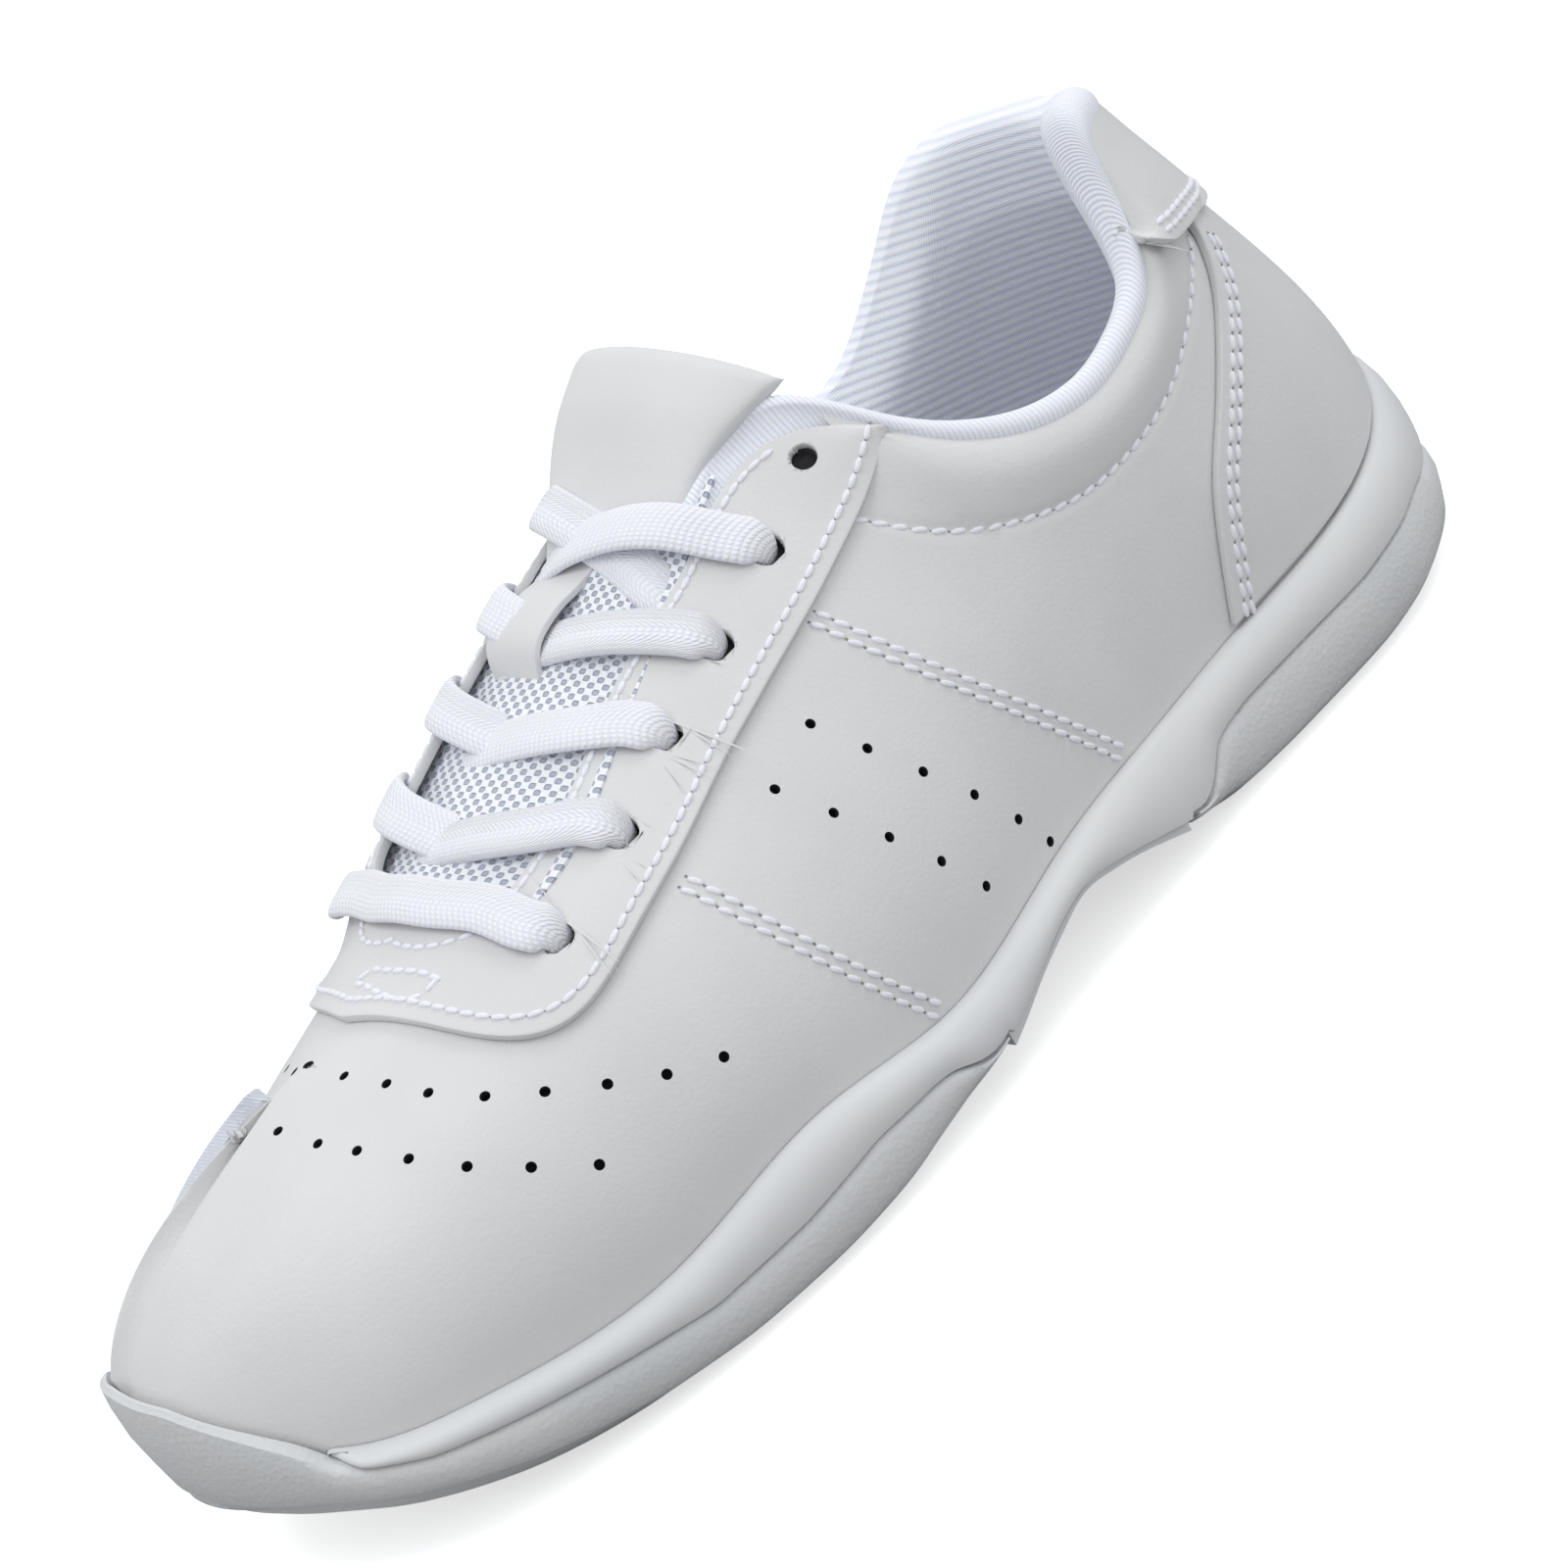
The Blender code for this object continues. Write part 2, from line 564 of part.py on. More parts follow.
def eyestay(cutter):
    obj = sheet("eyestay", eyestay_grid(OVERLAY_LIFT), PANEL, LEATHER)
    cut = obj.modifiers.new("eyelets", "BOOLEAN")
    cut.operation = "DIFFERENCE"
    cut.solver = "EXACT"
    cut.object = cutter
    return obj


def heel_counter_panel():
    """Overlay round the back of the heel, below the tab."""
    rows = []
    for t in np.linspace(-1, 1, 17):
        v = np.linspace(0, 1, 6)
        h = v * 0.5
        for _ in range(6):
            a = 1 + t * (1 - counter_edge(h))
            h = 0.018 + v * (tab_edge(1 - abs(1 - a)) - 0.04)
        rows.append(skin(a, h, OVERLAY_LIFT))
    return sheet("heel_counter_panel", np.array(rows), PANEL, LEATHER)


def heel_tab():
    """Overlay on the top of the heel, from the tab's lower edge to the rim."""
    rows = []
    for t in np.linspace(-1, 1, 17):
        v = np.linspace(0, 1, 5)
        a = 1 + t * TAB_SPAN * np.ones_like(v)
        side = 1 - abs(t) * TAB_SPAN
        low = tab_edge(side)
        high = np.minimum(rim(a) - 0.012, 0.84)
        rows.append(skin(a, low + v * np.maximum(high - low, 0.04), OVERLAY_LIFT))
    return sheet("heel_tab", np.array(rows), PANEL, LEATHER)


# ---------------------------------------------------------------- inside layers

def toe_puff():
    rows = []
    for u in np.linspace(-1, 1, 15):
        h = np.linspace(0.03, 0.6, 5)
        rows.append(skin(u * TOE_PUFF_SPAN, h, INNER_LIFT))
    return sheet("toe_puff", np.array(rows), CLOTH, STIFFENER)


def vamp_lining():
    """Cloth inside the front half, from side to side."""
    rows = []
    for u in np.linspace(-1, 1, 29):
        v = np.linspace(0, 1, 7)
        a = u * VAMP_LINING_SPAN * np.ones_like(v)
        h = 0.02 + v * (panel_top(a) - 0.02)
        rows.append(skin(a, h, LINING_LIFT))
    return sheet("vamp_lining", np.array(rows), CLOTH, FABRIC)


def heel_stiffener():
    rows = []
    for t in np.linspace(-1, 1, 15):
        h = np.linspace(0.03, 0.33, 4)
        rows.append(skin(1 + t * STIFFENER_SPAN, h, INNER_LIFT))
    return sheet("heel_stiffener", np.array(rows), STIFFENER_WALL, STIFFENER)


def collar_foam():
    """Padding under the rim, round the ankle."""
    rows = []
    for t in np.linspace(-1, 1, 27):
        a = 1 + t * FOAM_SPAN
        top = np.minimum(rim(a), np.minimum(rim(a - 0.01), rim(a + 0.01))) - 0.075
        low = np.minimum(0.42, top - 0.12)
        h = np.linspace(0, 1, 4) * (top - low) + low
        rows.append(skin(a, h, INNER_LIFT))
    return sheet("collar_foam", np.array(rows), FOAM_PAD, FOAM)


def collar_lining():
    """Ribbed cloth: a roll over the rim, then down the inside to the insole."""
    rows = []
    for t in np.linspace(-1, 1, 39):
        a = 1 + t * COLLAR_SPAN
        top = rim(a)
        centre = skin(a, top, ROLL_LIFT)
        normal = last_normal(a, top)
        up = last_point(a, top + 0.01) - last_point(a, top - 0.01)
        up /= np.linalg.norm(up)
        angles = np.radians([-30, 15, 60, 105, 150])
        path = [centre + ROLL_RADIUS * (np.cos(w) * normal + np.sin(w) * up) for w in angles]
        inner_heights = top - np.array([0.05, 0.12, 0.2]) * np.clip((top - 0.2) / 0.3, 0.5, 1)
        for h, lift in zip(inner_heights, (-6.8, -7.4, -7.4)):
            path.append(skin(a, h, lift))
        for share, lift in ((0.55, -6.2), (0.1, -5.4)):
            path.append(skin(a, share * inner_heights[-1], lift))
        rows.append(np.array(path))
    return sheet("collar_lining", np.array(rows), CLOTH, FABRIC)


# ---------------------------------------------------------------- tongue

def tongue_layer(name, lift, thickness, look, end, knots):
    """Layer of the tongue under the lace, smooth across the ridge through the given places."""
    rows = []
    for a in np.linspace(0.2, end, 12):
        line = []
        for w in knots:
            h = 1 - abs(w) * 0.3
            side = 1 if w > 0 else -1
            line.append(skin(side * a, h, lift))
        curve = spline(knots, line)
        rows.append(np.array([curve(w) for w in np.linspace(-1, 1, 11)]))
    return sheet(name, np.array(rows)[::-1], thickness, look)


def flap_edges(s):
    """Lateral and medial ends of the tongue flap at s, 0 at the hinge and 1 at the top edge."""
    lateral = np.array(FLAP_LATERAL[0]) * (1 - s) + np.array(FLAP_LATERAL[1]) * s
    medial = np.array(FLAP_MEDIAL[0]) * (1 - s) + np.array(FLAP_MEDIAL[1]) * s
    return lateral, medial


def flap_point(s, w):
    """Middle surface of the tongue flap."""
    lateral, medial = flap_edges(s)
    line = lateral * (1 - w) + medial * w
    bow = 4 * w * (1 - w)
    line[0] -= bow * 1.2
    line[2] += bow * (1.0 + 2.2 * s)
    return line


def tongue_top():
    """Padded leather flap above the top lace crossing; it bends at its lower edge."""
    along = np.linspace(0.04, 1, 8)
    across = np.linspace(0, 1, 10)
    step = 0.01
    rows = []
    for s in along:
        ring_points = []
        for sign, order in ((1, across), (-1, across[::-1])):
            for w in order:
                here = flap_point(s, w)
                ds = flap_point(s + step, w) - flap_point(s - step, w)
                dw = flap_point(s, w + step) - flap_point(s, w - step)
                normal = np.cross(dw, ds)
                normal /= np.linalg.norm(normal)
                if normal[2] < 0:
                    normal = -normal
                round_side = (4 * w * (1 - w)) ** 0.4
                round_end = min(1.0, ((1 - s) * 6 + 0.25), (s * 6 + 0.25))
                ring_points.append(here + sign * normal * (0.7 + 2.3 * round_side * round_end))
        rows.append(np.array(ring_points))
    obj = loft("tongue_top", np.array(rows), LEATHER, cap_start=True, cap_end=True)
    place_origin(obj, (HINGE_X, 0, HINGE_Z))
    return obj


def tongue_facing():
    """Leather on the tongue between the keeper and the flap."""
    rows = []
    for a in np.linspace(0.494, 0.542, 4):
        line = []
        for w in np.linspace(-1, 1, 9):
            side = 1 if w > 0 else -1
            line.append(skin(side * a, 1 - abs(w) * 0.27, FACING_LIFT))
        rows.append(np.array(line))
    return sheet("tongue_facing", np.array(rows)[::-1], CLOTH, LEATHER)


def lace_keeper():
    """Strap on the tongue, over the fourth lace crossing."""
    rows = []
    for a, lift in ((0.484, -3.4), (0.479, 0.0), (0.474, 4.0), (0.465, 5.6), (0.452, 5.9), (0.439, 5.6),
                    (0.430, 4.0), (0.425, 0.0), (0.420, -3.4)):
        line = []
        for h in (-0.93, 1.0, 0.93):
            side = -1 if h < 0 else 1
            line.append(skin(side * a, abs(h), lift))
        rows.append(np.array(line))
    return sheet("lace_keeper", np.array(rows), STRAP, LEATHER)


# ---------------------------------------------------------------- lace

def lace_half(sign):
    """Route of half the lace: over the bar, then through every second eyelet on each side."""
    bar = EYELETS[0][0]
    path = [skin(bar, 1.0, 1.6), skin(sign * bar, 0.87, 3.4), skin(sign * bar, 0.76, LACE_OVER)]
    side = sign
    for i in range(5):
        a, h = EYELETS[i]
        path.append(skin(side * a, h, LACE_OVER))
        if i == 4:
            break
        path.append(skin(side * a, h, LACE_UNDER))
        after = EYELETS[i + 1][0]
        step = after - a
        path.append(skin(side * (a + 0.3 * step), 0.85, LACE_UNDER))
        path.append(skin((a + after) / 2, 1.0, LACE_CROSS_HIGH if side < 0 else LACE_CROSS_LOW))
        path.append(skin(-side * (a + 0.7 * step), 0.85, LACE_OVER + 0.1))
        side = -side
    a, h = EYELETS[4]
    for forward, drop, lift in ((0.0, 0.0, -6.9), (0.005, 0.10, -7.2), (0.01, 0.18, -8.0)):
        path.append(skin(side * (a + forward), h - drop, lift))
    return path


def tube(name, path, radius, look):
    """Round cord through the points, with closed ends."""
    curve = bpy.data.curves.new(name, "CURVE")
    curve.dimensions = "3D"
    curve.bevel_depth = radius * MM
    curve.bevel_resolution = 2
    curve.use_fill_caps = True
    line = curve.splines.new("POLY")
    line.points.add(len(path) - 1)
    for point, place in zip(line.points, path):
        point.co = (*(np.asarray(place) * MM), 1)
    obj = bpy.data.objects.new(name, curve)
    bpy.context.collection.objects.link(obj)
    curve.materials.append(material(name, *look))
    return obj


def lace_and_aglets():
    right = lace_half(1)
    left = lace_half(-1)
    path = right[:0:-1] + [right[0]] + left[1:]
    tube("lace", path, LACE_RADIUS, LACE_CLOTH)
    for name, half in (("aglet_lateral", right), ("aglet_medial", left)):
        end = half[-1]
        direction = end - half[-2]
        direction /= np.linalg.norm(direction)
        tip = end + direction * (0.4 + AGLET_LENGTH)
        tube(name, [end + direction * 0.4, tip], AGLET_RADIUS, AGLET)


def build():
    clear_scene()
    outsole("outsole_forefoot", 0.0, FOREFOOT_PAD_END)
    outsole("outsole_heel", HEEL_PAD_START, 1.0)
    midsole()
    insole_plate("insole_board", -2.0, 0.35, BOARD, BOARD_LOOK)
    insole_plate("sockliner", -6.0, BOARD + 0.7, SOCKLINER, FABRIC)
    vamp()
    side_panel("side_panel_lateral", 1)
    side_panel("side_panel_medial", -1)
    quarter("quarter_lateral", 1)
    quarter("quarter_medial", -1)
    eyestay(eyelet_cutter())
    heel_counter_panel()
    heel_tab()
    toe_puff()
    vamp_lining()
    heel_stiffener()
    collar_foam()
    collar_lining()
    tongue_layer("tongue_body", TONGUE_LIFT, TONGUE_PAD, MESH_CLOTH, 0.542, np.linspace(-1, 1, 11))
    tongue_layer("tongue_lining", TONGUE_LINING_LIFT, CLOTH, FABRIC, 0.5, (-1, -0.5, 0, 0.5, 1))
    tongue_facing()
    tongue_top()
    lace_keeper()
    lace_and_aglets()


build()
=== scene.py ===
import json
import math

import bmesh
import bpy
import numpy as np
from mathutils import Matrix, Vector

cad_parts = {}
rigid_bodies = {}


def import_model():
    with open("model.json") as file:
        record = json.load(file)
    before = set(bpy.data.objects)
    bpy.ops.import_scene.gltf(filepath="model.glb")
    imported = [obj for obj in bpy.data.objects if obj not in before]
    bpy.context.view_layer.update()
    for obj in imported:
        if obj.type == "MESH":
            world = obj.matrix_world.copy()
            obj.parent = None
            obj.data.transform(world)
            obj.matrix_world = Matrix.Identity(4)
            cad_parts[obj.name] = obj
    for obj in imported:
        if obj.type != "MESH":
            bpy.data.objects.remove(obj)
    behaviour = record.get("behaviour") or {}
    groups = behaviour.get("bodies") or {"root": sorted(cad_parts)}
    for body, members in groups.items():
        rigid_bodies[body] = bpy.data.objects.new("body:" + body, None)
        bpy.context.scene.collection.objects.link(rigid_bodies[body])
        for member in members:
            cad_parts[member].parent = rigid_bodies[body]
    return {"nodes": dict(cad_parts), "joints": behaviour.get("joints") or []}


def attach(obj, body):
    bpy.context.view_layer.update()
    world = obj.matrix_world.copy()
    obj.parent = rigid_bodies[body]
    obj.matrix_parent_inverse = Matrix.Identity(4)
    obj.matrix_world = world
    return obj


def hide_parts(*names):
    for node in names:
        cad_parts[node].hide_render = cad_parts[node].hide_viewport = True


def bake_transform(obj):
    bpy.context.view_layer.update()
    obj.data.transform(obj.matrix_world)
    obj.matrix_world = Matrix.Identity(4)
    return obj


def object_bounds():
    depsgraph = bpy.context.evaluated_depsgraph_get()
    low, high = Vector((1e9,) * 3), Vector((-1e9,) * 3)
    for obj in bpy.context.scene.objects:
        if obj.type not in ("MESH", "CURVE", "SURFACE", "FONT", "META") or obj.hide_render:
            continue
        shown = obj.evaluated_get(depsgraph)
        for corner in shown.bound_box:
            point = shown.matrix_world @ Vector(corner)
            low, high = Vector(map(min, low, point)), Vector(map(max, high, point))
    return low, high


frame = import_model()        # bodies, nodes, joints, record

# Left cheer shoe: fine leather, cloth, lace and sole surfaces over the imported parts.
# A place on the upper is (around, up). Around runs along the sole's edge: 0 at the toe, 1 at the heel on the
# lateral side, -1 on the medial side. Up is 0 at the sole's edge and 1 on the ridge over the foot.
# Lengths in the dictionaries are millimetres. Lift is the distance out from the leather's base surface.

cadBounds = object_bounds()
bpy.ops.object.select_all(action="DESELECT")
scene = bpy.context.scene
scene.view_settings.view_transform = "Standard"
mm = 0.001
shoeBody = frame["joints"][0]["parent"]
print("frame loaded:", len(frame["nodes"]), "nodes")

lastShape = {
    "footLateral": [    # edge between upper and sole: around, x, y, z
        (0.00, -126.5, 8, 33), (0.05, -125.5, -7.5, 30), (0.10, -118.5, -20.5, 22), (0.18, -101, -33.5, 17),
        (0.28, -73, -41.5, 14.5), (0.38, -44, -44.5, 18), (0.48, -15, -42, 14), (0.58, 15, -36, 17),
        (0.68, 43, -31.5, 18.5), (0.78, 69, -29, 20), (0.88, 98.5, -25.5, 22), (0.95, 118.5, -14.5, 27),
        (1.00, 127, 1.5, 30.5)],
    "footMedial": [
        (0.00, -126.5, 8, 33), (0.05, -121.5, 20.5, 30), (0.10, -112, 30.5, 22), (0.18, -94, 40, 17),
        (0.28, -66, 44.5, 15), (0.38, -39, 43.5, 17.5), (0.48, -12, 38.5, 17), (0.58, 17, 32.5, 19),
        (0.68, 44, 29.5, 19.5), (0.78, 70, 29.5, 20.5), (0.88, 98.5, 27.5, 23), (0.95, 118.5, 16.5, 27),
        (1.00, 127, 1.5, 30.5)],
    "ridgeFront": [    # line over the foot that both sides rise to: around, x, y, z
        (0.00, -87.5, 4.5, 50), (0.05, -84.5, 4, 51), (0.10, -79.5, 3.5, 53), (0.18, -67, 3, 56),
        (0.28, -47.5, 4, 63), (0.38, -25.5, 6, 72.5), (0.48, -1, 7, 83)],
    "ridgeLateral": [
        (0.58, 25, 4, 95), (0.68, 49, -12, 100.5), (0.78, 73, -17.5, 101), (0.88, 90.5, -15.5, 104.5),
        (0.95, 99.5, -8.5, 107), (1.00, 103.5, 1.5, 107.5)],
    "ridgeMedial": [
        (0.58, 25, 9, 95), (0.68, 49, 16, 100.5), (0.78, 73, 20.5, 101), (0.88, 90.5, 18.5, 104.5),
        (0.95, 99.5, 11.5, 107), (1.00, 103.5, 1.5, 107.5)],
    "wallBend": [    # how the wall leaves the sole: around, outward, up
        (0.00, -3, 5), (0.05, -2, 6), (0.10, -1, 9), (0.18, 2, 18), (0.38, 3, 26), (0.58, 3, 34),
        (0.78, 4, 38), (0.90, 2, 30), (1.00, 0, 22)],
    "reachLateral": [    # how the wall arrives at the ridge: around, along x, y, z
        (0.00, -28, 0, -1), (0.05, -26, -12, -2), (0.10, -20, -22, -2), (0.18, -10, -28, -3),
        (0.28, -3, -30, -4), (0.38, 0, -30, -6), (0.48, 0, -27, -9), (0.58, 0, -20, -14), (0.68, 0, -8, -22),
        (0.78, 0, -3, -26), (1.00, 0, -4, -30)],
    "reachMedial": [
        (0.00, -28, 0, -1), (0.05, -26, 8, -2), (0.10, -20, 14, -4), (0.18, -10, 20, -4), (0.28, -3, 22, -2),
        (0.38, 0, 22, 0), (0.48, 0, 20, 0), (0.58, 0, 16, -8), (0.68, 0, 8, -20), (0.78, 0, 3, -26),
        (1.00, 0, 4, -30)],
    "ridgeRadius": 13.0,    # over this distance both sides round into each other
}
edgeLines = {    # outlines on the upper: around, up
    "throat": [(0.245, 1.0), (0.262, 0.86), (0.29, 0.77), (0.35, 0.755), (0.42, 0.79), (0.50, 0.815), (0.565, 0.836)],
    "rimLateral": [
        (0.598, 0.815), (0.62, 0.745), (0.64, 0.655), (0.662, 0.582), (0.687, 0.531), (0.72, 0.491),
        (0.76, 0.476), (0.796, 0.50), (0.829, 0.55), (0.851, 0.63), (0.866, 0.72), (0.88, 0.81),
        (0.90, 0.85), (0.94, 0.84), (1.00, 0.80)],
    "rimMedial": [
        (0.598, 0.815), (0.62, 0.745), (0.645, 0.66), (0.675, 0.58), (0.71, 0.545), (0.746, 0.567),
        (0.78, 0.65), (0.82, 0.76), (0.856, 0.825), (0.90, 0.845), (0.95, 0.83), (1.00, 0.80)],
    "eyestayOuter": [
        (0.15, 1.0), (0.183, 0.868), (0.223, 0.685), (0.261, 0.548), (0.30, 0.486), (0.344, 0.492),
        (0.39, 0.512), (0.441, 0.548), (0.496, 0.558), (0.545, 0.552), (0.598, 0.574), (0.638, 0.64)],
    "eyestayInner": [
        (0.245, 1.0), (0.25, 0.93), (0.262, 0.86), (0.285, 0.785), (0.32, 0.76), (0.36, 0.76),
        (0.41, 0.785), (0.455, 0.79), (0.50, 0.778), (0.55, 0.78), (0.595, 0.745), (0.632, 0.66)],
    "puffLateral": [
        (0.56, 0.60), (0.589, 0.578), (0.613, 0.495), (0.641, 0.427), (0.676, 0.375), (0.72, 0.336),
        (0.767, 0.334), (0.808, 0.365), (0.844, 0.425), (0.882, 0.491), (0.911, 0.538), (1.0, 0.56)],
    "puffMedial": [
        (0.56, 0.60), (0.589, 0.578), (0.613, 0.50), (0.641, 0.45), (0.676, 0.41), (0.71, 0.40),
        (0.75, 0.42), (0.79, 0.455), (0.83, 0.49), (0.87, 0.52), (0.911, 0.545), (1.0, 0.56)],
    "tabLower": [(0.83, 0.60), (0.845, 0.592), (0.867, 0.57), (0.908, 0.555), (0.95, 0.53), (1.0, 0.49)],
    "counterFront": [    # up, around
        (0.0, 0.763), (0.1, 0.78), (0.19, 0.798), (0.27, 0.822), (0.375, 0.857), (0.47, 0.893), (0.60, 0.935)],
}
throatBow = 0.9
eyelets = [(0.302, 0.62), (0.366, 0.62), (0.422, 0.655), (0.481, 0.663), (0.54, 0.66), (0.591, 0.696)]


def naturalSpline(knots, values):
    t = np.asarray(knots, float)
    v = np.asarray(values, float)
    n = len(t)
    step = np.diff(t)
    system = np.eye(n)
    right = np.zeros_like(v)
    for i in range(1, n - 1):
        system[i, i - 1] = step[i - 1]
        system[i, i] = 2 * (step[i - 1] + step[i])
        system[i, i + 1] = step[i]
        right[i] = 6 * ((v[i + 1] - v[i]) / step[i] - (v[i] - v[i - 1]) / step[i - 1])
    bend = np.linalg.solve(system, right)

    def value(s):
        s = np.asarray(s, float)
        i = np.clip(np.searchsorted(t, s, side="right") - 1, 0, n - 2)
        a = (t[i + 1] - s)[..., None]
        b = (s - t[i])[..., None]
        h = step[i][..., None]
        cubic = (bend[i] * a ** 3 + bend[i + 1] * b ** 3) / (6 * h)
        return cubic + (v[i] / h - bend[i] * h / 6) * a + (v[i + 1] / h - bend[i + 1] * h / 6) * b
    return value


def wrapAround(a):
    return (np.asarray(a, float) + 1) % 2 - 1


def closedRing(lateral, medial):
    lat = np.array(lateral, float)
    med = np.array(medial, float)
    knots = np.concatenate([-med[:0:-1, 0], lat[:, 0]])
    values = np.concatenate([med[:0:-1, 1:], lat[:, 1:]])
    knots = np.concatenate([knots[-3:-1] - 2, knots, knots[1:3] + 2])
    values = np.concatenate([values[-3:-1], values, values[1:3]])
    curve = naturalSpline(knots, values)
    return lambda a: curve(wrapAround(a))


def smoothLine(points):    # read by its first number
    table = np.array(points, float)
    curve = naturalSpline(np.arange(len(table)), table)
    dense = curve(np.linspace(0, len(table) - 1, 40 * len(table)))
    return lambda s: np.interp(s, dense[:, 0], dense[:, 1])


def smoothStep(x):
    x = np.clip(x, 0, 1)
    return x * x * (3 - 2 * x)


footRing = closedRing(lastShape["footLateral"], lastShape["footMedial"])
ridgeRing = closedRing(lastShape["ridgeFront"] + lastShape["ridgeLateral"],
                       lastShape["ridgeFront"] + lastShape["ridgeMedial"])
wallRing = closedRing(lastShape["wallBend"], lastShape["wallBend"])
reachRing = closedRing(lastShape["reachLateral"], lastShape["reachMedial"])
rimLateral = smoothLine(edgeLines["throat"] + edgeLines["rimLateral"])
rimMedial = smoothLine(edgeLines["throat"] + edgeLines["rimMedial"])
eyestayOuter = smoothLine(edgeLines["eyestayOuter"])
puffLateral = smoothLine(edgeLines["puffLateral"])
puffMedial = smoothLine(edgeLines["puffMedial"])
tabLower = smoothLine(edgeLines["tabLower"])
counterFront = smoothLine(edgeLines["counterFront"])


def unit(v):
    return v / np.maximum(np.linalg.norm(v, axis=-1, keepdims=True), 1e-9)


def outwardFrom(a):
    along = footRing(a + 0.001) - footRing(a - 0.001)
    return unit(np.stack([along[..., 1], -along[..., 0], np.zeros_like(along[..., 0])], -1))


def ridgeAt(a):    # in front both sides share exactly the same ridge
    share = 0.5 * (1 - smoothStep((np.abs(wrapAround(a)) - 0.46) / 0.08))[..., None]
    return ridgeRing(a) * (1 - share) + ridgeRing(-np.asarray(a)) * share


def basePoint(a, h):
    h = np.asarray(h, float)[..., None]
    g = 1 - h
    low = footRing(a)
    high = ridgeAt(a)
    bend = wallRing(a)
    first = low + outwardFrom(a) * bend[..., :1]
    first[..., 2] += bend[..., 1]
    second = high + reachRing(a)
    return g ** 3 * low + 3 * g * g * h * first + 3 * g * h * h * second + h ** 3 * high


def normalOf(pointAt, a, h, step=0.002):
    along = pointAt(a + step, h) - pointAt(a - step, h)
    rise = pointAt(a, h + step) - pointAt(a, h - step)
    return unit(np.cross(along, rise))


def ridgeTable():    # side vector, normal and crease along the ridge
    side = np.linspace(0.0, 0.62, 125)
    flat = np.full_like(side, 0.97)
    lateral = normalOf(basePoint, side, flat)
    medial = normalOf(basePoint, -side, flat)
    mean = unit(lateral + medial)
    run = unit(ridgeAt(side + 0.02) - ridgeAt(side))
    across = unit(np.cross(run, mean))
    across *= -np.sign(across[:, 1:2])
    crease = ((lateral - medial) * across).sum(-1) * (1 - smoothStep((side - 0.54) / 0.08))
    return side, np.hstack([across, mean, crease[:, None]])


ridgeSides, ridgeRows = ridgeTable()


def softPoint(a, h):    # foot shape with the crease along the ridge rounded
    a = wrapAround(a)
    point = basePoint(a, h)
    side = np.abs(a)
    row = np.stack([np.interp(side, ridgeSides, ridgeRows[:, i]) for i in range(7)], -1)
    radius = lastShape["ridgeRadius"]
    reach = np.abs(((point - ridgeAt(a)) * row[..., :3]).sum(-1))
    rounded = np.where(reach < radius, (reach ** 2 + radius ** 2) / (2 * radius), reach)
    drop = -0.5 * row[..., 6] * (rounded - reach) * (side < 0.62)
    return point + row[..., 3:6] * drop[..., None]


def skin(a, h, lift):
    a, h, lift = np.broadcast_arrays(np.asarray(a, float), np.asarray(h, float), np.asarray(lift, float))
    normal = normalOf(softPoint, a, np.minimum(h, 0.985))
    return softPoint(a, h) + normal * lift[..., None]


def rimUp(a):
    a = wrapAround(a)
    line = np.where(a >= 0, rimLateral(np.abs(a)), rimMedial(np.abs(a)))
    return np.where(np.abs(a) < 0.245, 1.0, line)


def puffUp(a):    # stitched lower edge of the collar padding
    a = wrapAround(a)
    return np.where(a >= 0, puffLateral(np.abs(a)), puffMedial(np.abs(a)))


def throatPoint(a, t, lift):    # across the throat in a flat bow: t is 1 at its lateral edge, -1 at its medial edge
    a, t, lift = np.broadcast_arrays(np.abs(np.asarray(a, float)), np.asarray(t, float), np.asarray(lift, float))
    top = np.where(a < 0.245, 1.0, np.minimum(rimLateral(a), 1.0))
    lateral = skin(a, top, lift)
    medial = skin(-a, top, lift)
    middle = (lateral + medial) / 2
    up = unit(skin(a, top, lift + 1) - lateral + skin(-a, top, lift + 1) - medial)
    bow = throatBow * (1 - np.clip(np.abs(t), 0, 1) ** 2)
    edge = np.where((t >= 0)[..., None], lateral, medial)
    return middle + (edge - middle) * np.abs(t)[..., None] + up * bow[..., None]


def upperPoint(a, h, lift):    # on the leather, or over the throat between its edges
    a, h, lift = np.broadcast_arrays(np.asarray(a, float), np.asarray(h, float), np.asarray(lift, float))
    top = np.where(np.abs(a) < 0.245, 1.0, np.minimum(rimLateral(np.abs(a)), 1.0))
    t = np.where(a >= 0, 1, -1) * (1 - h) / np.maximum(1 - top, 0.01)
    inThroat = ((h > top) & (np.abs(a) > 0.25))[..., None]
    return np.where(inThroat, throatPoint(a, np.clip(t, -1, 1), lift), skin(a, np.minimum(h, 1), lift))


def wallPoint(a, out, z):
    point = footRing(a) + outwardFrom(a) * np.asarray(out, float)[..., None]
    point[..., 2] = z
    return point


def frontSeam(h):
    return 0.474 - 0.23 * h + 0.07 * h * h


def rearSeam(h):
    return 0.655 - 0.285 * h + 0.12 * h * h


# camera and light

cameraView = {"azimuth": -28.29, "elevation": 19.91, "roll": -31.98, "lens": 100.9,
              "distance": 650.0, "aim": (8.4, 9.3, -15.9)}    # aim is from the middle of the shoe's box


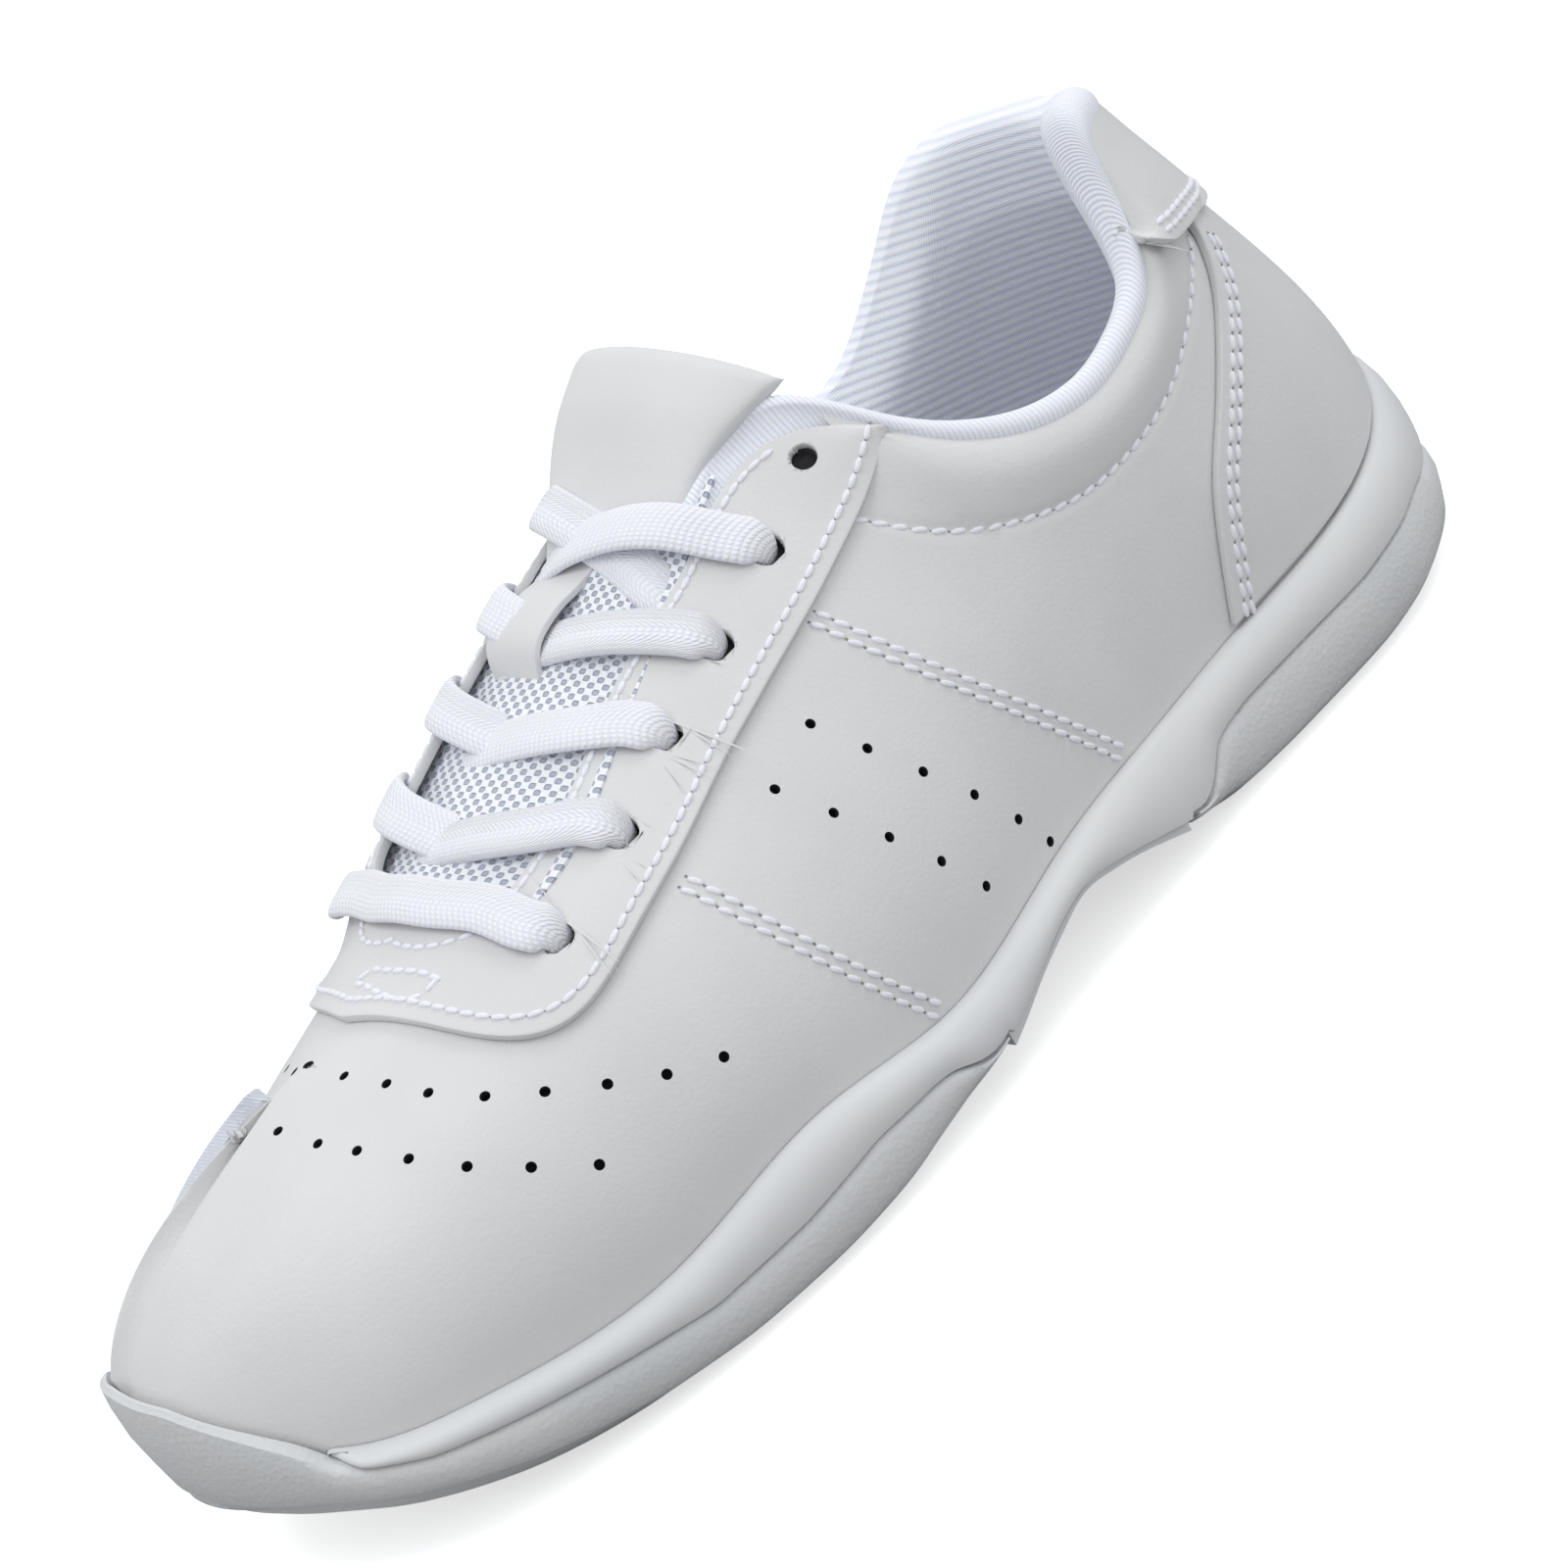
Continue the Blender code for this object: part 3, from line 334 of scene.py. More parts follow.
def addCamera():
    low, high = (np.array(corner) / mm for corner in cadBounds)
    middle = (low + high) / 2
    az, el, roll = (math.radians(cameraView[k]) for k in ("azimuth", "elevation", "roll"))
    back = Vector((math.sin(az) * math.cos(el), -math.cos(az) * math.cos(el), math.sin(el)))
    level = Vector((math.cos(az), math.sin(az), 0))
    upright = back.cross(level)
    right = level * math.cos(roll) + upright * math.sin(roll)
    up = back.cross(right)
    aim = Vector(middle) + Vector(cameraView["aim"])
    place = (aim + back * cameraView["distance"]) * mm
    data = bpy.data.cameras.new("productCamera")
    data.lens = cameraView["lens"]
    data.sensor_width = 36
    data.clip_start = 0.01
    camera = bpy.data.objects.new("productCamera", data)
    turn = Matrix((right, up, back)).transposed().to_4x4()
    camera.matrix_world = Matrix.Translation(place) @ turn
    scene.collection.objects.link(camera)
    scene.camera = camera


studio = {"dome": 0.8, "floorSize": 9.0, "floorGlow": 0.6, "floorDark": 0.36, "aim": (0, 0, 0.04),
          "lamps": [("keyLamp", 4.5, 0.9, (-0.45, 0.05, 1.3)), ("backLamp", 2.8, 0.6, (0.9, -0.1, 1.0)),
                    ("fillLamp", 2.1, 0.8, (0.8, -1.2, 0.4))]}    # name, power, size, place in metres


def addLight(name, power, size, place):
    data = bpy.data.lights.new(name, "AREA")
    data.shape = "DISK"
    data.energy = power
    data.size = size
    lamp = bpy.data.objects.new(name, data)
    lamp.location = place
    lamp.rotation_euler = (Vector(place) - Vector(studio["aim"])).to_track_quat("Z", "Y").to_euler()
    scene.collection.objects.link(lamp)


def addStudio():
    world = bpy.data.worlds.new("softDome")
    world.use_nodes = True
    world.node_tree.nodes["Background"].inputs["Color"].default_value = (0.97, 0.985, 1.0, 1)
    world.node_tree.nodes["Background"].inputs["Strength"].default_value = studio["dome"]
    scene.world = world
    for lamp in studio["lamps"]:
        addLight(*lamp)
    bpy.ops.mesh.primitive_plane_add(size=studio["floorSize"], location=(0, 0, cadBounds[0][2] - 0.0002))
    floor = bpy.context.object
    floor.name = "studioFloor"
    floor.data.materials.append(floorFinish())
    floor.data.transform(floor.matrix_world)
    floor.matrix_world = Matrix.Identity(4)


# finishes: colour, roughness and relief all come from nodes

def newFinish(name, colour, roughness):
    finish = bpy.data.materials.new(name)
    finish.use_nodes = True
    shader = finish.node_tree.nodes["Principled BSDF"]
    shader.inputs["Base Color"].default_value = (*colour, 1)
    shader.inputs["Roughness"].default_value = roughness
    return finish, finish.node_tree, shader


def node(tree, kind, settings=None, **inputs):
    made = tree.nodes.new(kind)
    for key, value in (settings or {}).items():
        setattr(made, key, value)
    for key, value in inputs.items():
        socket = made.inputs[int(key[1:])] if key[0] == "n" and key[1:].isdigit() else made.inputs[key]
        if isinstance(value, bpy.types.NodeSocket):
            tree.links.new(value, socket)
        else:
            socket.default_value = value
    return made


def mathNode(tree, operation, first, second=0.0):
    return node(tree, "ShaderNodeMath", {"operation": operation}, n0=first, n1=second).outputs[0]


def objectPlace(tree):
    return node(tree, "ShaderNodeTexCoord").outputs["Object"]


def clothPlace(tree):    # the piece's own uv map, in millimetres, as two separate numbers
    uv = node(tree, "ShaderNodeUVMap", {"uv_map": "UVMap"})
    split = node(tree, "ShaderNodeSeparateXYZ", Vector=uv.outputs[0])
    return split.outputs[0], split.outputs[1]


def noiseAt(tree, place, scale, detail=3.0):
    return node(tree, "ShaderNodeTexNoise", Vector=place, Scale=scale, Detail=detail).outputs["Fac"]


def spread(tree, value, low, high):
    made = node(tree, "ShaderNodeMapRange", Value=value)
    made.inputs["To Min"].default_value = low
    made.inputs["To Max"].default_value = high
    return made.outputs["Result"]


def mixColours(tree, share, first, second):
    made = tree.nodes.new("ShaderNodeMix")
    made.data_type = "RGBA"
    tree.links.new(share, made.inputs["Factor"])
    made.inputs["A"].default_value = (*first, 1)
    made.inputs["B"].default_value = (*second, 1)
    return made.outputs["Result"]


def paint(tree, shader, colour):
    tree.links.new(colour, shader.inputs["Base Color"])


def roughen(tree, shader, value):
    tree.links.new(value, shader.inputs["Roughness"])


def addBump(tree, shader, height, strength, distance):
    bump = node(tree, "ShaderNodeBump", Strength=strength, Distance=distance, Height=height)
    tree.links.new(bump.outputs["Normal"], shader.inputs["Normal"])


def leatherFinish(name, bright, dull, roughness, grain):
    finish, tree, shader = newFinish(name, bright, roughness)
    place = objectPlace(tree)
    cells = node(tree, "ShaderNodeTexVoronoi", {"feature": "SMOOTH_F1"}, Vector=place, Scale=1500.0)
    fine = noiseAt(tree, place, 2600.0)
    broad = noiseAt(tree, place, 45.0)
    patch = noiseAt(tree, place, 260.0)
    height = mathNode(tree, "ADD", cells.outputs["Distance"], mathNode(tree, "MULTIPLY", fine, 0.6))
    paint(tree, shader, mixColours(tree, spread(tree, broad, -0.6, 1.6), dull, bright))
    roughen(tree, shader, spread(tree, patch, roughness - 0.07, roughness + 0.07))
    shader.inputs["Specular IOR Level"].default_value = 0.42
    addBump(tree, shader, height, grain, 0.00012)
    return finish


def foamFinish():
    finish, tree, shader = newFinish("mouldedFoam", (0.7, 0.71, 0.72), 0.46)
    place = objectPlace(tree)
    fine = noiseAt(tree, place, 1400.0)
    broad = noiseAt(tree, place, 30.0)
    paint(tree, shader, mixColours(tree, spread(tree, broad, -0.4, 1.4), (0.665, 0.68, 0.695), (0.72, 0.73, 0.735)))
    roughen(tree, shader, spread(tree, fine, 0.4, 0.55))
    addBump(tree, shader, fine, 0.12, 0.0001)
    return finish


def rubberFinish():
    finish, tree, shader = newFinish("grainedRubber", (0.64, 0.65, 0.66), 0.62)
    place = objectPlace(tree)
    pebble = node(tree, "ShaderNodeTexVoronoi", {"feature": "F1"}, Vector=place, Scale=1150.0)
    fine = noiseAt(tree, place, 1900.0)
    broad = noiseAt(tree, place, 38.0)
    height = mathNode(tree, "ADD", pebble.outputs["Distance"], fine)
    paint(tree, shader, mixColours(tree, spread(tree, broad, -0.4, 1.4), (0.62, 0.635, 0.65), (0.69, 0.70, 0.705)))
    roughen(tree, shader, spread(tree, fine, 0.55, 0.75))
    addBump(tree, shader, height, 0.45, 0.0002)
    return finish


def waveAt(tree, value, pitch, shift=0.0):    # 0 to 1 to 0 over each pitch
    turns = mathNode(tree, "MULTIPLY", mathNode(tree, "ADD", value, shift), 2 * math.pi / pitch)
    return mathNode(tree, "ADD", mathNode(tree, "MULTIPLY", mathNode(tree, "COSINE", turns), 0.5), 0.5)


def ribbedFinish():    # knit with ribs across its first uv direction
    finish, tree, shader = newFinish("ribbedKnit", (0.72, 0.75, 0.83), 0.85)
    u, v = clothPlace(tree)
    ribs = waveAt(tree, u, 1.0)
    loops = waveAt(tree, v, 0.42)
    fuzz = noiseAt(tree, objectPlace(tree), 3000.0)
    height = mathNode(tree, "ADD", mathNode(tree, "POWER", ribs, 0.7), mathNode(tree, "MULTIPLY", loops, 0.3))
    height = mathNode(tree, "ADD", height, mathNode(tree, "MULTIPLY", fuzz, 0.25))
    # painted shade: rib valleys darker than the crests
    paint(tree, shader, mixColours(tree, spread(tree, ribs, 0.0, 1.0), (0.78, 0.815, 0.92), (0.93, 0.945, 0.985)))
    shader.inputs["Sheen Weight"].default_value = 0.25
    addBump(tree, shader, height, 0.5, 0.00025)
    return finish


def airMeshFinish():    # open mesh: staggered holes between bright yarns, the holes painted dark as the shade inside them
    finish, tree, shader = newFinish("airMesh", (0.8, 0.83, 0.9), 0.8)
    u, v = clothPlace(tree)
    turnsU = mathNode(tree, "MULTIPLY", u, 2 * math.pi / 2.7)
    turnsV = mathNode(tree, "MULTIPLY", v, 2 * math.pi / 2.1)
    product = mathNode(tree, "MULTIPLY", mathNode(tree, "COSINE", turnsU), mathNode(tree, "COSINE", turnsV))
    hole = spread(tree, product, 0.0, 1.0)
    hole.node.inputs["From Min"].default_value = 0.05
    hole.node.inputs["From Max"].default_value = 0.55
    fuzz = noiseAt(tree, objectPlace(tree), 2600.0)
    # painted shade: holes darker than the yarns
    paint(tree, shader, mixColours(tree, hole, (0.88, 0.90, 0.95), (0.42, 0.46, 0.57)))
    height = mathNode(tree, "SUBTRACT", mathNode(tree, "MULTIPLY", fuzz, 0.3), hole)
    shader.inputs["Sheen Weight"].default_value = 0.2
    addBump(tree, shader, height, 0.9, 0.0005)
    return finish


def laceFinish():    # flat woven tape: ribs across, split into short yarn floats
    finish, tree, shader = newFinish("wovenLace", (0.86, 0.87, 0.91), 0.8)
    u, v = clothPlace(tree)
    rib = waveAt(tree, u, 1.15)
    yarns = waveAt(tree, v, 0.62)
    fuzz = noiseAt(tree, objectPlace(tree), 3200.0)
    both = mathNode(tree, "MULTIPLY", mathNode(tree, "POWER", rib, 0.6), spread(tree, yarns, 0.45, 1.0))
    height = mathNode(tree, "ADD", both, mathNode(tree, "MULTIPLY", fuzz, 0.3))
    # painted shade: gaps between ribs and yarn floats darker
    paint(tree, shader, mixColours(tree, both, (0.78, 0.80, 0.87), (0.91, 0.91, 0.94)))
    shader.inputs["Sheen Weight"].default_value = 0.3
    addBump(tree, shader, height, 0.65, 0.00028)
    return finish


def threadFinish():
    finish, tree, shader = newFinish("sewingThread", (0.84, 0.85, 0.9), 0.55)
    twist = noiseAt(tree, objectPlace(tree), 2400.0)
    # painted shade: low parts of the twist relief darker
    paint(tree, shader, mixColours(tree, twist, (0.74, 0.76, 0.84), (0.93, 0.935, 0.96)))
    addBump(tree, shader, twist, 0.4, 0.0001)
    return finish


# painted shade: a flat dark colour with random specks, for the shade inside holes
def paintedShadeFinish(name, colour):
    finish, tree, shader = newFinish(name, colour, 0.9)
    speck = noiseAt(tree, objectPlace(tree), 900.0)
    paint(tree, shader, mixColours(tree, speck, colour, tuple(2.2 * c for c in colour)))
    return finish


def plainCloth(name, colour, pitch=0.7):    # flat knit, read in object space
    finish, tree, shader = newFinish(name, colour, 0.88)
    split = node(tree, "ShaderNodeSeparateXYZ", Vector=objectPlace(tree))
    warp = waveAt(tree, mathNode(tree, "ADD", split.outputs[0], split.outputs[2]), pitch * mm)
    weft = waveAt(tree, mathNode(tree, "SUBTRACT", split.outputs[1], split.outputs[2]), pitch * mm)
    weave = mathNode(tree, "MULTIPLY", warp, weft)
    # painted shade: low parts of the weave darker
    paint(tree, shader, mixColours(tree, weave, tuple(0.86 * c for c in colour), colour))
    addBump(tree, shader, weave, 0.5, 0.0002)
    return finish


def boardFinish(name, colour):    # pressed fibre
    finish, tree, shader = newFinish(name, colour, 0.85)
    fibre = noiseAt(tree, objectPlace(tree), 420.0, 6.0)
    paint(tree, shader, mixColours(tree, fibre, tuple(0.8 * c for c in colour), colour))
    addBump(tree, shader, fibre, 0.3, 0.0002)
    return finish


def plasticFinish():
    finish, tree, shader = newFinish("aglet", (0.86, 0.87, 0.9), 0.22)
    streak = noiseAt(tree, objectPlace(tree), 500.0)
    roughen(tree, shader, spread(tree, streak, 0.16, 0.3))
    addBump(tree, shader, streak, 0.1, 0.0001)
    return finish


def floorFinish():
    finish, tree, shader = newFinish("paleFloor", (0.92, 0.92, 0.92), 0.9)
    seen = node(tree, "ShaderNodeLightPath").outputs["Is Camera Ray"]    # bright to look at, dull as a bounce
    paint(tree, shader, mixColours(tree, seen, (studio["floorDark"],) * 3, (0.92, 0.92, 0.92)))
    shader.inputs["Specular IOR Level"].default_value = 0.0
    shader.inputs["Emission Color"].default_value = (1, 1, 1, 1)
    tree.links.new(mathNode(tree, "MULTIPLY", seen, studio["floorGlow"]), shader.inputs["Emission Strength"])
    return finish


addCamera()
addStudio()
finishes = {
    "leather": leatherFinish("whiteLeather", (0.70, 0.705, 0.71), (0.655, 0.66, 0.668), 0.43, 0.35),
    "tongueLeather": leatherFinish("tongueLeather", (0.70, 0.705, 0.715), (0.66, 0.665, 0.675), 0.5, 0.25),
    "cutEdge": leatherFinish("cutLeatherEdge", (0.80, 0.79, 0.75), (0.70, 0.69, 0.65), 0.7, 0.6),
    "foam": foamFinish(), "rubber": rubberFinish(), "ribs": ribbedFinish(), "airMesh": airMeshFinish(),
    "lace": laceFinish(), "thread": threadFinish(), "cloth": plainCloth("flatKnit", (0.70, 0.73, 0.81)),
    # needle, dark and shade are painted shade inside needle holes, perforations and eyelets
    "needle": paintedShadeFinish("needleHoleShade", (0.16, 0.165, 0.18)),
    "dark": paintedShadeFinish("punchedHoleShade", (0.012, 0.012, 0.014)), "shade": paintedShadeFinish("eyeletShade", (0.05, 0.05, 0.055)),
    "board": boardFinish("fibreBoard", (0.62, 0.56, 0.46)), "stiff": boardFinish("stiffener", (0.78, 0.77, 0.74)),
    "padding": boardFinish("openFoam", (0.74, 0.75, 0.76)), "plastic": plasticFinish(),
}
print("camera, studio and", len(finishes), "finishes made")


# making pieces

def useOnly(piece):
    bpy.ops.object.select_all(action="DESELECT")
    piece.select_set(True)
    bpy.context.view_layer.objects.active = piece


def applyModifier(piece, kind, **settings):
    useOnly(piece)
    added = piece.modifiers.new(kind.lower(), kind)
    for key, value in settings.items():
        setattr(added, key, value)
    bpy.ops.object.modifier_apply(modifier=added.name)


def readArray(table, field, width, kind=float):    # one row for each vertex or loop
    flat = np.zeros(len(table) * width, kind)
    table.foreach_get(field, flat)
    return flat.reshape(-1, width) if width > 1 else flat


def drapedGrid(name, across, along, place, weld=False):
    # a flat grid whose points are moved to place(u, v), with a uv map in millimetres
    bpy.ops.mesh.primitive_grid_add(x_subdivisions=across, y_subdivisions=along, size=1, calc_uvs=True)
    piece = bpy.context.object
    piece.name = name
    mesh = piece.data
    mesh.name = name
    flat = readArray(mesh.vertices, "co", 3)
    u = flat[:, 0] + 0.5
    v = flat[:, 1] + 0.5
    points = place(u, v)
    columns = np.rint(u * across).astype(int)
    rows = np.rint(v * along).astype(int)
    grid = np.zeros((along + 1, across + 1, 3))
    grid[rows, columns] = points
    widths = np.concatenate([[0], np.cumsum(np.linalg.norm(np.diff(grid.mean(0), axis=0), axis=1))])
    tall = np.linalg.norm(np.diff(grid, axis=0), axis=2)
    heights = np.vstack([np.zeros(across + 1), np.cumsum(tall, axis=0)])
    loops = readArray(mesh.loops, "vertex_index", 1, int)
    uv = np.stack([widths[columns], heights[rows, columns]], -1)[loops]
    mesh.uv_layers[0].name = "UVMap"
    mesh.uv_layers[0].data.foreach_set("uv", uv.ravel())
    mesh.vertices.foreach_set("co", (points * mm).ravel())
    mesh.update()
    if weld:
        useOnly(piece)
        bpy.ops.object.mode_set(mode="EDIT")
        bpy.ops.mesh.select_all(action="SELECT")
        bpy.ops.mesh.remove_doubles(threshold=0.00002)
        bpy.ops.object.mode_set(mode="OBJECT")
    return piece


def faceOutward(piece):
    useOnly(piece)
    bpy.ops.object.mode_set(mode="EDIT")
    bpy.ops.mesh.select_all(action="SELECT")
    bpy.ops.mesh.normals_make_consistent(inside=False)
    bpy.ops.object.mode_set(mode="OBJECT")


def thicken(piece, thickness, edgeSlot=0, bevel=0.0):
    applyModifier(piece, "SOLIDIFY", thickness=thickness * mm, offset=-1, use_even_offset=False,
                  material_offset_rim=edgeSlot)
    if bevel:
        applyModifier(piece, "BEVEL", width=bevel * mm, segments=2, limit_method="ANGLE",
                      angle_limit=math.radians(50), use_clamp_overlap=False)


def finishPiece(piece, finish, nodes=(), body=None, edge=None, angle=40):
    piece.data.materials.append(finishes[finish])
    if edge:
        piece.data.materials.append(finishes[edge])
    useOnly(piece)
    bpy.ops.object.shade_smooth_by_angle(angle=math.radians(angle))
    if body != "blended":
        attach(piece, body or shoeBody)
    if nodes:
        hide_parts(*nodes)
    return piece


def meshPiece(name, points, faces):
    mesh = bpy.data.meshes.new(name)
    mesh.from_pydata((np.asarray(points) * mm).tolist(), [], faces)
    piece = bpy.data.objects.new(name, mesh)
    scene.collection.objects.link(piece)
    return piece


def templateShape(rings, ends):    # one small shape, modelled once and repeated; ends below 1 are fuller
    bpy.ops.mesh.primitive_uv_sphere_add(segments=8, ring_count=rings, radius=0.5)
    made = bpy.context.object
    points = np.array([v.co[:] for v in made.data.vertices])
    if ends != 1:
        points[:, 2] = 0.5 * np.sign(points[:, 2]) * np.abs(points[:, 2] * 2) ** ends
    faces = [tuple(p.vertices) for p in made.data.polygons]
    bpy.data.objects.remove(made)
    return points, faces


stitchShape = templateShape(6, 0.75)
dotShape = templateShape(4, 1)


def scatter(name, shape, places, runs, ups, size):
    # copies of a small shape: its long axis on runs, its height on ups; size is width, height, length
    points, faces = shape
    sides = unit(np.cross(ups, runs))
    ups = unit(np.cross(runs, sides))
    scaled = points * np.array(size)
    made = (places[:, None, :] + scaled[None, :, 0:1] * sides[:, None, :]
            + scaled[None, :, 1:2] * ups[:, None, :] + scaled[None, :, 2:3] * runs[:, None, :])
    count = len(points)
    allFaces = [tuple(i + n * count for i in face) for n in range(len(places)) for face in faces]
    return meshPiece(name, made.reshape(-1, 3), allFaces)


def evenly(points, extra, pitch):    # points spaced by pitch along a path, with what goes with them
    steps = np.linalg.norm(np.diff(points, axis=0), axis=1)
    length = np.concatenate([[0], np.cumsum(steps)])
    count = max(2, int(round(length[-1] / pitch)))
    spots = (np.arange(count) + 0.5) * length[-1] / count
    pick = lambda table: np.stack([np.interp(spots, length, table[:, i]) for i in range(3)], -1)
    ahead = np.stack([np.interp(spots + 0.3, length, points[:, i]) for i in range(3)], -1)
    behind = np.stack([np.interp(spots - 0.3, length, points[:, i]) for i in range(3)], -1)
    return pick(points), unit(ahead - behind), unit(pick(extra))


# hole is the size of each needle-hole dot of painted shade
sewing = {"pitch": 2.9, "length": 2.4, "width": 0.98, "height": 0.9, "tilt": 0.2, "sunk": 0.03,
          "hole": (0.44, 0.1, 0.5), "perUnit": (300, 88)}    # perUnit: millimetres in one unit around and up


def sewLine(places, lift, shift=0.0):    # a row of stitches along (around, up) places on the upper
    table = np.array(places, float)
    steps = np.linalg.norm(np.diff(table * sewing["perUnit"], axis=0), axis=1)
    knots = np.concatenate([[0], np.cumsum(steps)])
    dense = naturalSpline(knots, table)(np.linspace(0, knots[-1], 160))
    beyond = dense[:, 1] > 1    # past the ridge, on the other side
    dense[:, 0] = np.where(beyond, -dense[:, 0], dense[:, 0])
    dense[:, 1] = np.where(beyond, 2 - dense[:, 1], dense[:, 1])
    lifts = lift(dense[:, 0], dense[:, 1]) if callable(lift) else np.full(160, float(lift))
    low = skin(dense[:, 0], dense[:, 1], lifts)
    up = skin(dense[:, 0], dense[:, 1], lifts + 1) - low
    if shift:
        low = low + unit(np.cross(up, np.gradient(low, axis=0))) * shift
    return evenly(low, up, sewing["pitch"])


def sewPiece(name, rows, tilt=None, dots=True):
    places, runs, ups = (np.vstack([row[i] for row in rows]) for i in range(3))
    lean = sewing["tilt"] if tilt is None else tilt
    tilted = unit(runs + np.cross(ups, runs) * lean)
    size = (sewing["width"], sewing["height"], sewing["length"])
    thread = scatter(name, stitchShape, places + ups * sewing["sunk"], tilted, ups, size)
    finishPiece(thread, "thread")
    if dots:    # needle holes between the stitches, as dots painted dark for their shade
        gaps = places + runs * sewing["pitch"] / 2 + ups * 0.01
        holes = scatter(name + "Holes", dotShape, gaps, runs, ups, sewing["hole"])
        finishPiece(holes, "needle")


# upper leather

panelSizes = {"thickness": 1.2, "puff": 2.3, "groove": 0.35, "lapUnder": 0.0035, "rimGap": 0.014}


def panelTop(a):    # where a base panel ends: a little way under the eyestay, or at the collar roll
    side = np.abs(wrapAround(a))
    under = np.where(side < 0.155, 1.0, eyestayOuter(np.minimum(side, 0.638)) + 0.04)
    free = rimUp(a) - panelSizes["rimGap"]
    top = np.where(side < 0.615, np.minimum(under, free), free)
    return np.where(side < 0.155, 1.0, np.minimum(top, 1.0))


def puffLift(a, h):    # padding swells the leather between its stitching and the rim
    a = wrapAround(a)
    side = np.abs(a)
    low = puffUp(a)
    share = np.clip((h - low) / np.maximum(rimUp(a) - low, 0.05), 0, 1)
    amount = panelSizes["puff"] * smoothStep((side - 0.585) / 0.06) * (1 - 0.65 * smoothStep((side - 0.84) / 0.08))
    groove = panelSizes["groove"] * np.exp(-((h - low) * 88 / 0.9) ** 2) * smoothStep((side - 0.575) / 0.02)
    return amount * np.sin(np.pi * share ** 1.2) ** 0.85 - groove


def flapDown(a, v, skinPoint):    # first rows go down inside the cup of the sole
    low = wallPoint(a, np.zeros_like(a), footRing(a)[..., 2] - 1.5)
    return np.where((v < 1e-6)[..., None], low, skinPoint)


def lineTop(places, sign):    # where a line of (around, up) places first meets the panel's top edge
    up = np.linspace(0.0, 1.0, 401)
    gap = panelTop(sign * places(up)) - up
    first = int(np.argmax(gap <= 1e-9)) if (gap <= 1e-9).any() else 400
    if first == 0:
        return 1.0
    before, after = gap[first - 1], gap[first]
    return up[first - 1] + (up[first] - up[first - 1]) * before / max(before - after, 1e-9)


def columnUp(u, v, places, sign):    # how far up each grid point lies; places(column share, up) gives around
    columns = np.unique(np.round(u, 6))
    tops = np.array([lineTop(lambda up: places(c, up), sign) for c in columns])
    return np.clip((v - 0.012) / 0.988, 0, 1) * np.interp(u, columns, tops)


def drapePanel(u, v, places, sign, lift):
    h = columnUp(u, v, places, sign)
    a = places(u, h)
    return flapDown(sign * a, v, skin(sign * a, h, lift(sign * a, h)))


def vampPlace(u, v):    # one column serves both sides, so the halves meet along the ridge
    s = 2 * u - 1
    side = np.where(s >= 0, 1, -1)
    h = columnUp(np.abs(s), v, lambda c, up: c * frontSeam(up), 1)
    a = side * np.abs(s) * frontSeam(h)
    return flapDown(a, v, skin(a, h, 0.0))


def sidePlace(sign):
    lap = panelSizes["lapUnder"]

    def between(c, h):
        w = c if sign > 0 else 1 - c
        return (frontSeam(h) - lap) * (1 - w) + (rearSeam(h) + lap) * w
    return lambda u, v: drapePanel(u, v, between, sign, lambda a, h: -0.035)


def quarterPlace(sign):
    def between(c, h):
        w = c if sign > 0 else 1 - c
        return rearSeam(h) * (1 - w) + w
    return lambda u, v: drapePanel(u, v, between, sign, puffLift)


perforations = {
    "radius": 0.78, "cupShare": 0.93, "cupTop": -0.06, "cupFloor": -1.7,
    "toe": [(0.137, 0.871), (0.168, 0.755), (0.194, 0.650), (0.227, 0.539), (0.260, 0.448),
            (0.293, 0.360), (0.324, 0.277), (0.355, 0.209)],
    "toeLow": [(0.069, 0.885), (0.113, 0.768), (0.142, 0.678), (0.175, 0.566), (0.208, 0.453),
               (0.241, 0.357), (0.274, 0.265)],
    "toeMiddle": [(0.0, 0.925), (0.096, 1.0)],
    "side": [(0.496, 0.466), (0.515, 0.366), (0.535, 0.268), (0.554, 0.175), (0.570, 0.089), (0.581, 0.022),
             (0.456, 0.455), (0.477, 0.358), (0.497, 0.263), (0.516, 0.169), (0.532, 0.080)],
}


punching = {"fineBand": 2.6, "search": 4.5, "inside": 0.98, "rim": 0.8}


def punch(piece, places, radius, cuts=2):    # round holes in a thin sheet, before it gets its thickness
    spots = np.array(places, float)
    centres = skin(spots[:, 0], spots[:, 1], 0.0)
    normals = skin(spots[:, 0], spots[:, 1], 1.0) - centres
    sheet = bmesh.new()
    sheet.from_mesh(piece.data)
    for centre, normal, size in zip(centres, normals, np.broadcast_to(radius, len(spots))):

        def inPlane(point):    # distance from the hole's axis, and along it
            away = np.array(point) / mm - centre
            deep = away @ normal
            return np.linalg.norm(away - deep * normal), deep

        def facesWithin(reach):
            middle = Vector(centre * mm)
            return [face for face in sheet.faces if (face.calc_center_median() - middle).length < reach * mm]

        for _ in range(cuts):
            edges = {edge for face in facesWithin(size + punching["fineBand"]) for edge in face.edges}
            bmesh.ops.subdivide_edges(sheet, edges=list(edges), cuts=1, use_grid_fill=True)
        close = facesWithin(size + punching["search"])
        inside = [face for face in close if inPlane(face.calc_center_median())[0] < size * punching["inside"]]
        bmesh.ops.delete(sheet, geom=inside, context="FACES")
        rim = {vert for face in close if face.is_valid for vert in face.verts if vert.is_boundary}
        for vert in rim:
            gap, deep = inPlane(vert.co)
            if 0.01 < gap < size + punching["rim"]:
                away = np.array(vert.co) / mm - centre - deep * normal
                vert.co = Vector((centre + deep * normal + away / gap * size) * mm)
    sheet.to_mesh(piece.data)
    sheet.free()


